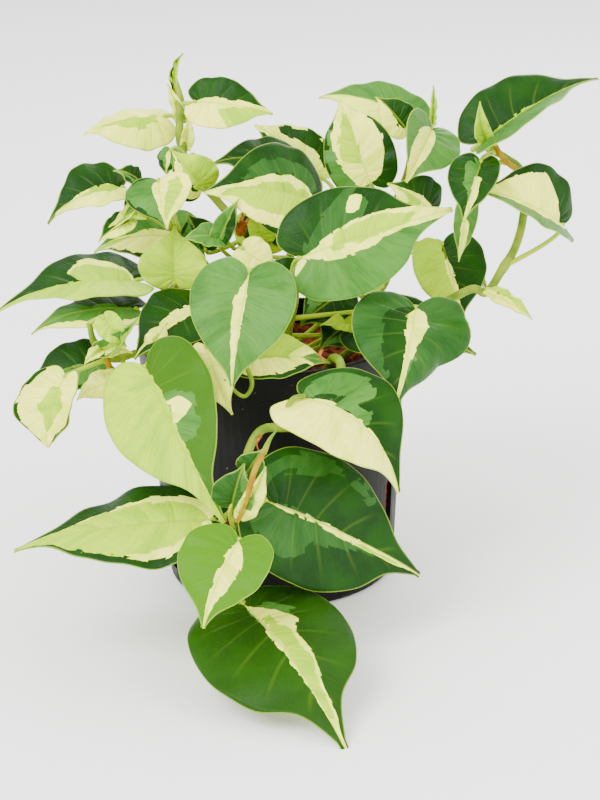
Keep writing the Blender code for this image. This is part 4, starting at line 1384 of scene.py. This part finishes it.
@dataclass
class Studio:
    """A pale floor, soft light and the camera."""

    floor_colour: str = "#fbfbfa"
    floor_roughness: float = 0.9
    floor_size: float = 30
    room_light: float = 2.0
    aim: tuple = (0, 0, 0.13)
    camera_place: tuple = (0.0, -0.947, 0.402)
    yaw: float = 0.73
    pitch: float = -18.46
    roll: float = -2.34
    lens: float = 92.4
    sensor: float = 36
    # Name, place, size in metres and power in watts
    lamps: tuple = (("key", (-0.9, -1.1, 1.5), 1.1, 56), ("fill", (1.3, -0.9, 0.9), 1.0, 17),
                    ("back", (0.5, 1.3, 1.4), 1.0, 24))

    def build(self) -> None:
        """Builds floor, world, lights and camera."""
        deselect()
        bpy.ops.mesh.primitive_plane_add(size=self.floor_size, location=(0, 0, 0))
        floor = active_mesh()
        floor.name = "studio_floor"
        # Uncoated background paper: pressed fibres, matt and even
        material, shader = new_material("pale paper")
        shader.inputs["Base Color"].default_value = linear(self.floor_colour)
        shader.inputs["Roughness"].default_value = self.floor_roughness
        floor.data.materials.append(material)
        world = bpy.data.worlds.new("soft room")
        world.use_nodes = True
        world.node_tree.nodes["Background"].inputs[0].default_value = (1.0, 1.0, 1.0, 1.0)
        world.node_tree.nodes["Background"].inputs[1].default_value = self.room_light
        bpy.context.scene.world = world
        for lamp in self.lamps:
            self.softbox(*lamp)
        self.camera()

    def softbox(self, name: str, place: tuple, size: float, power: float) -> None:
        """Adds a square area light that faces the plant.

        Args:
            name: The lamp's name.
            place: Where it stands, in metres.
            size: Its side in metres.
            power: Its power in watts.
        """
        bpy.ops.object.light_add(type="AREA", location=place)
        lamp = bpy.context.object
        lamp.name = name
        lamp.data.size = size
        lamp.data.energy = power
        target = Vector(self.aim) - Vector(place)
        lamp.rotation_euler = target.to_track_quat("-Z", "Y").to_euler()

    def camera(self) -> None:
        """Places the camera."""
        yaw, pitch, roll = (math.radians(a) for a in (self.yaw, self.pitch, self.roll))
        forward = Vector((math.sin(yaw) * math.cos(pitch), math.cos(yaw) * math.cos(pitch),
                          math.sin(pitch)))
        right = Vector((math.cos(yaw), -math.sin(yaw), 0))
        above = right.cross(forward)
        side = right * math.cos(roll) + above * math.sin(roll)
        upward = above * math.cos(roll) - right * math.sin(roll)
        turn = Matrix((side, upward, -forward)).transposed()
        bpy.ops.object.camera_add(location=self.camera_place, rotation=turn.to_euler())
        camera = bpy.context.object
        camera.data.lens = self.lens
        camera.data.sensor_width = self.sensor
        bpy.context.scene.camera = camera


def main() -> None:
    """Builds the plant and its studio."""
    logging.basicConfig(level=logging.INFO, format="%(name)s: %(message)s")
    stems = Stems()
    paths = stems.paths()
    CulturePot().dress()
    Granulate().build()
    stems.build(paths)
    Foliage().build(paths)
    Strands().build()
    Studio().build()


if __name__ == "__main__":
    main()
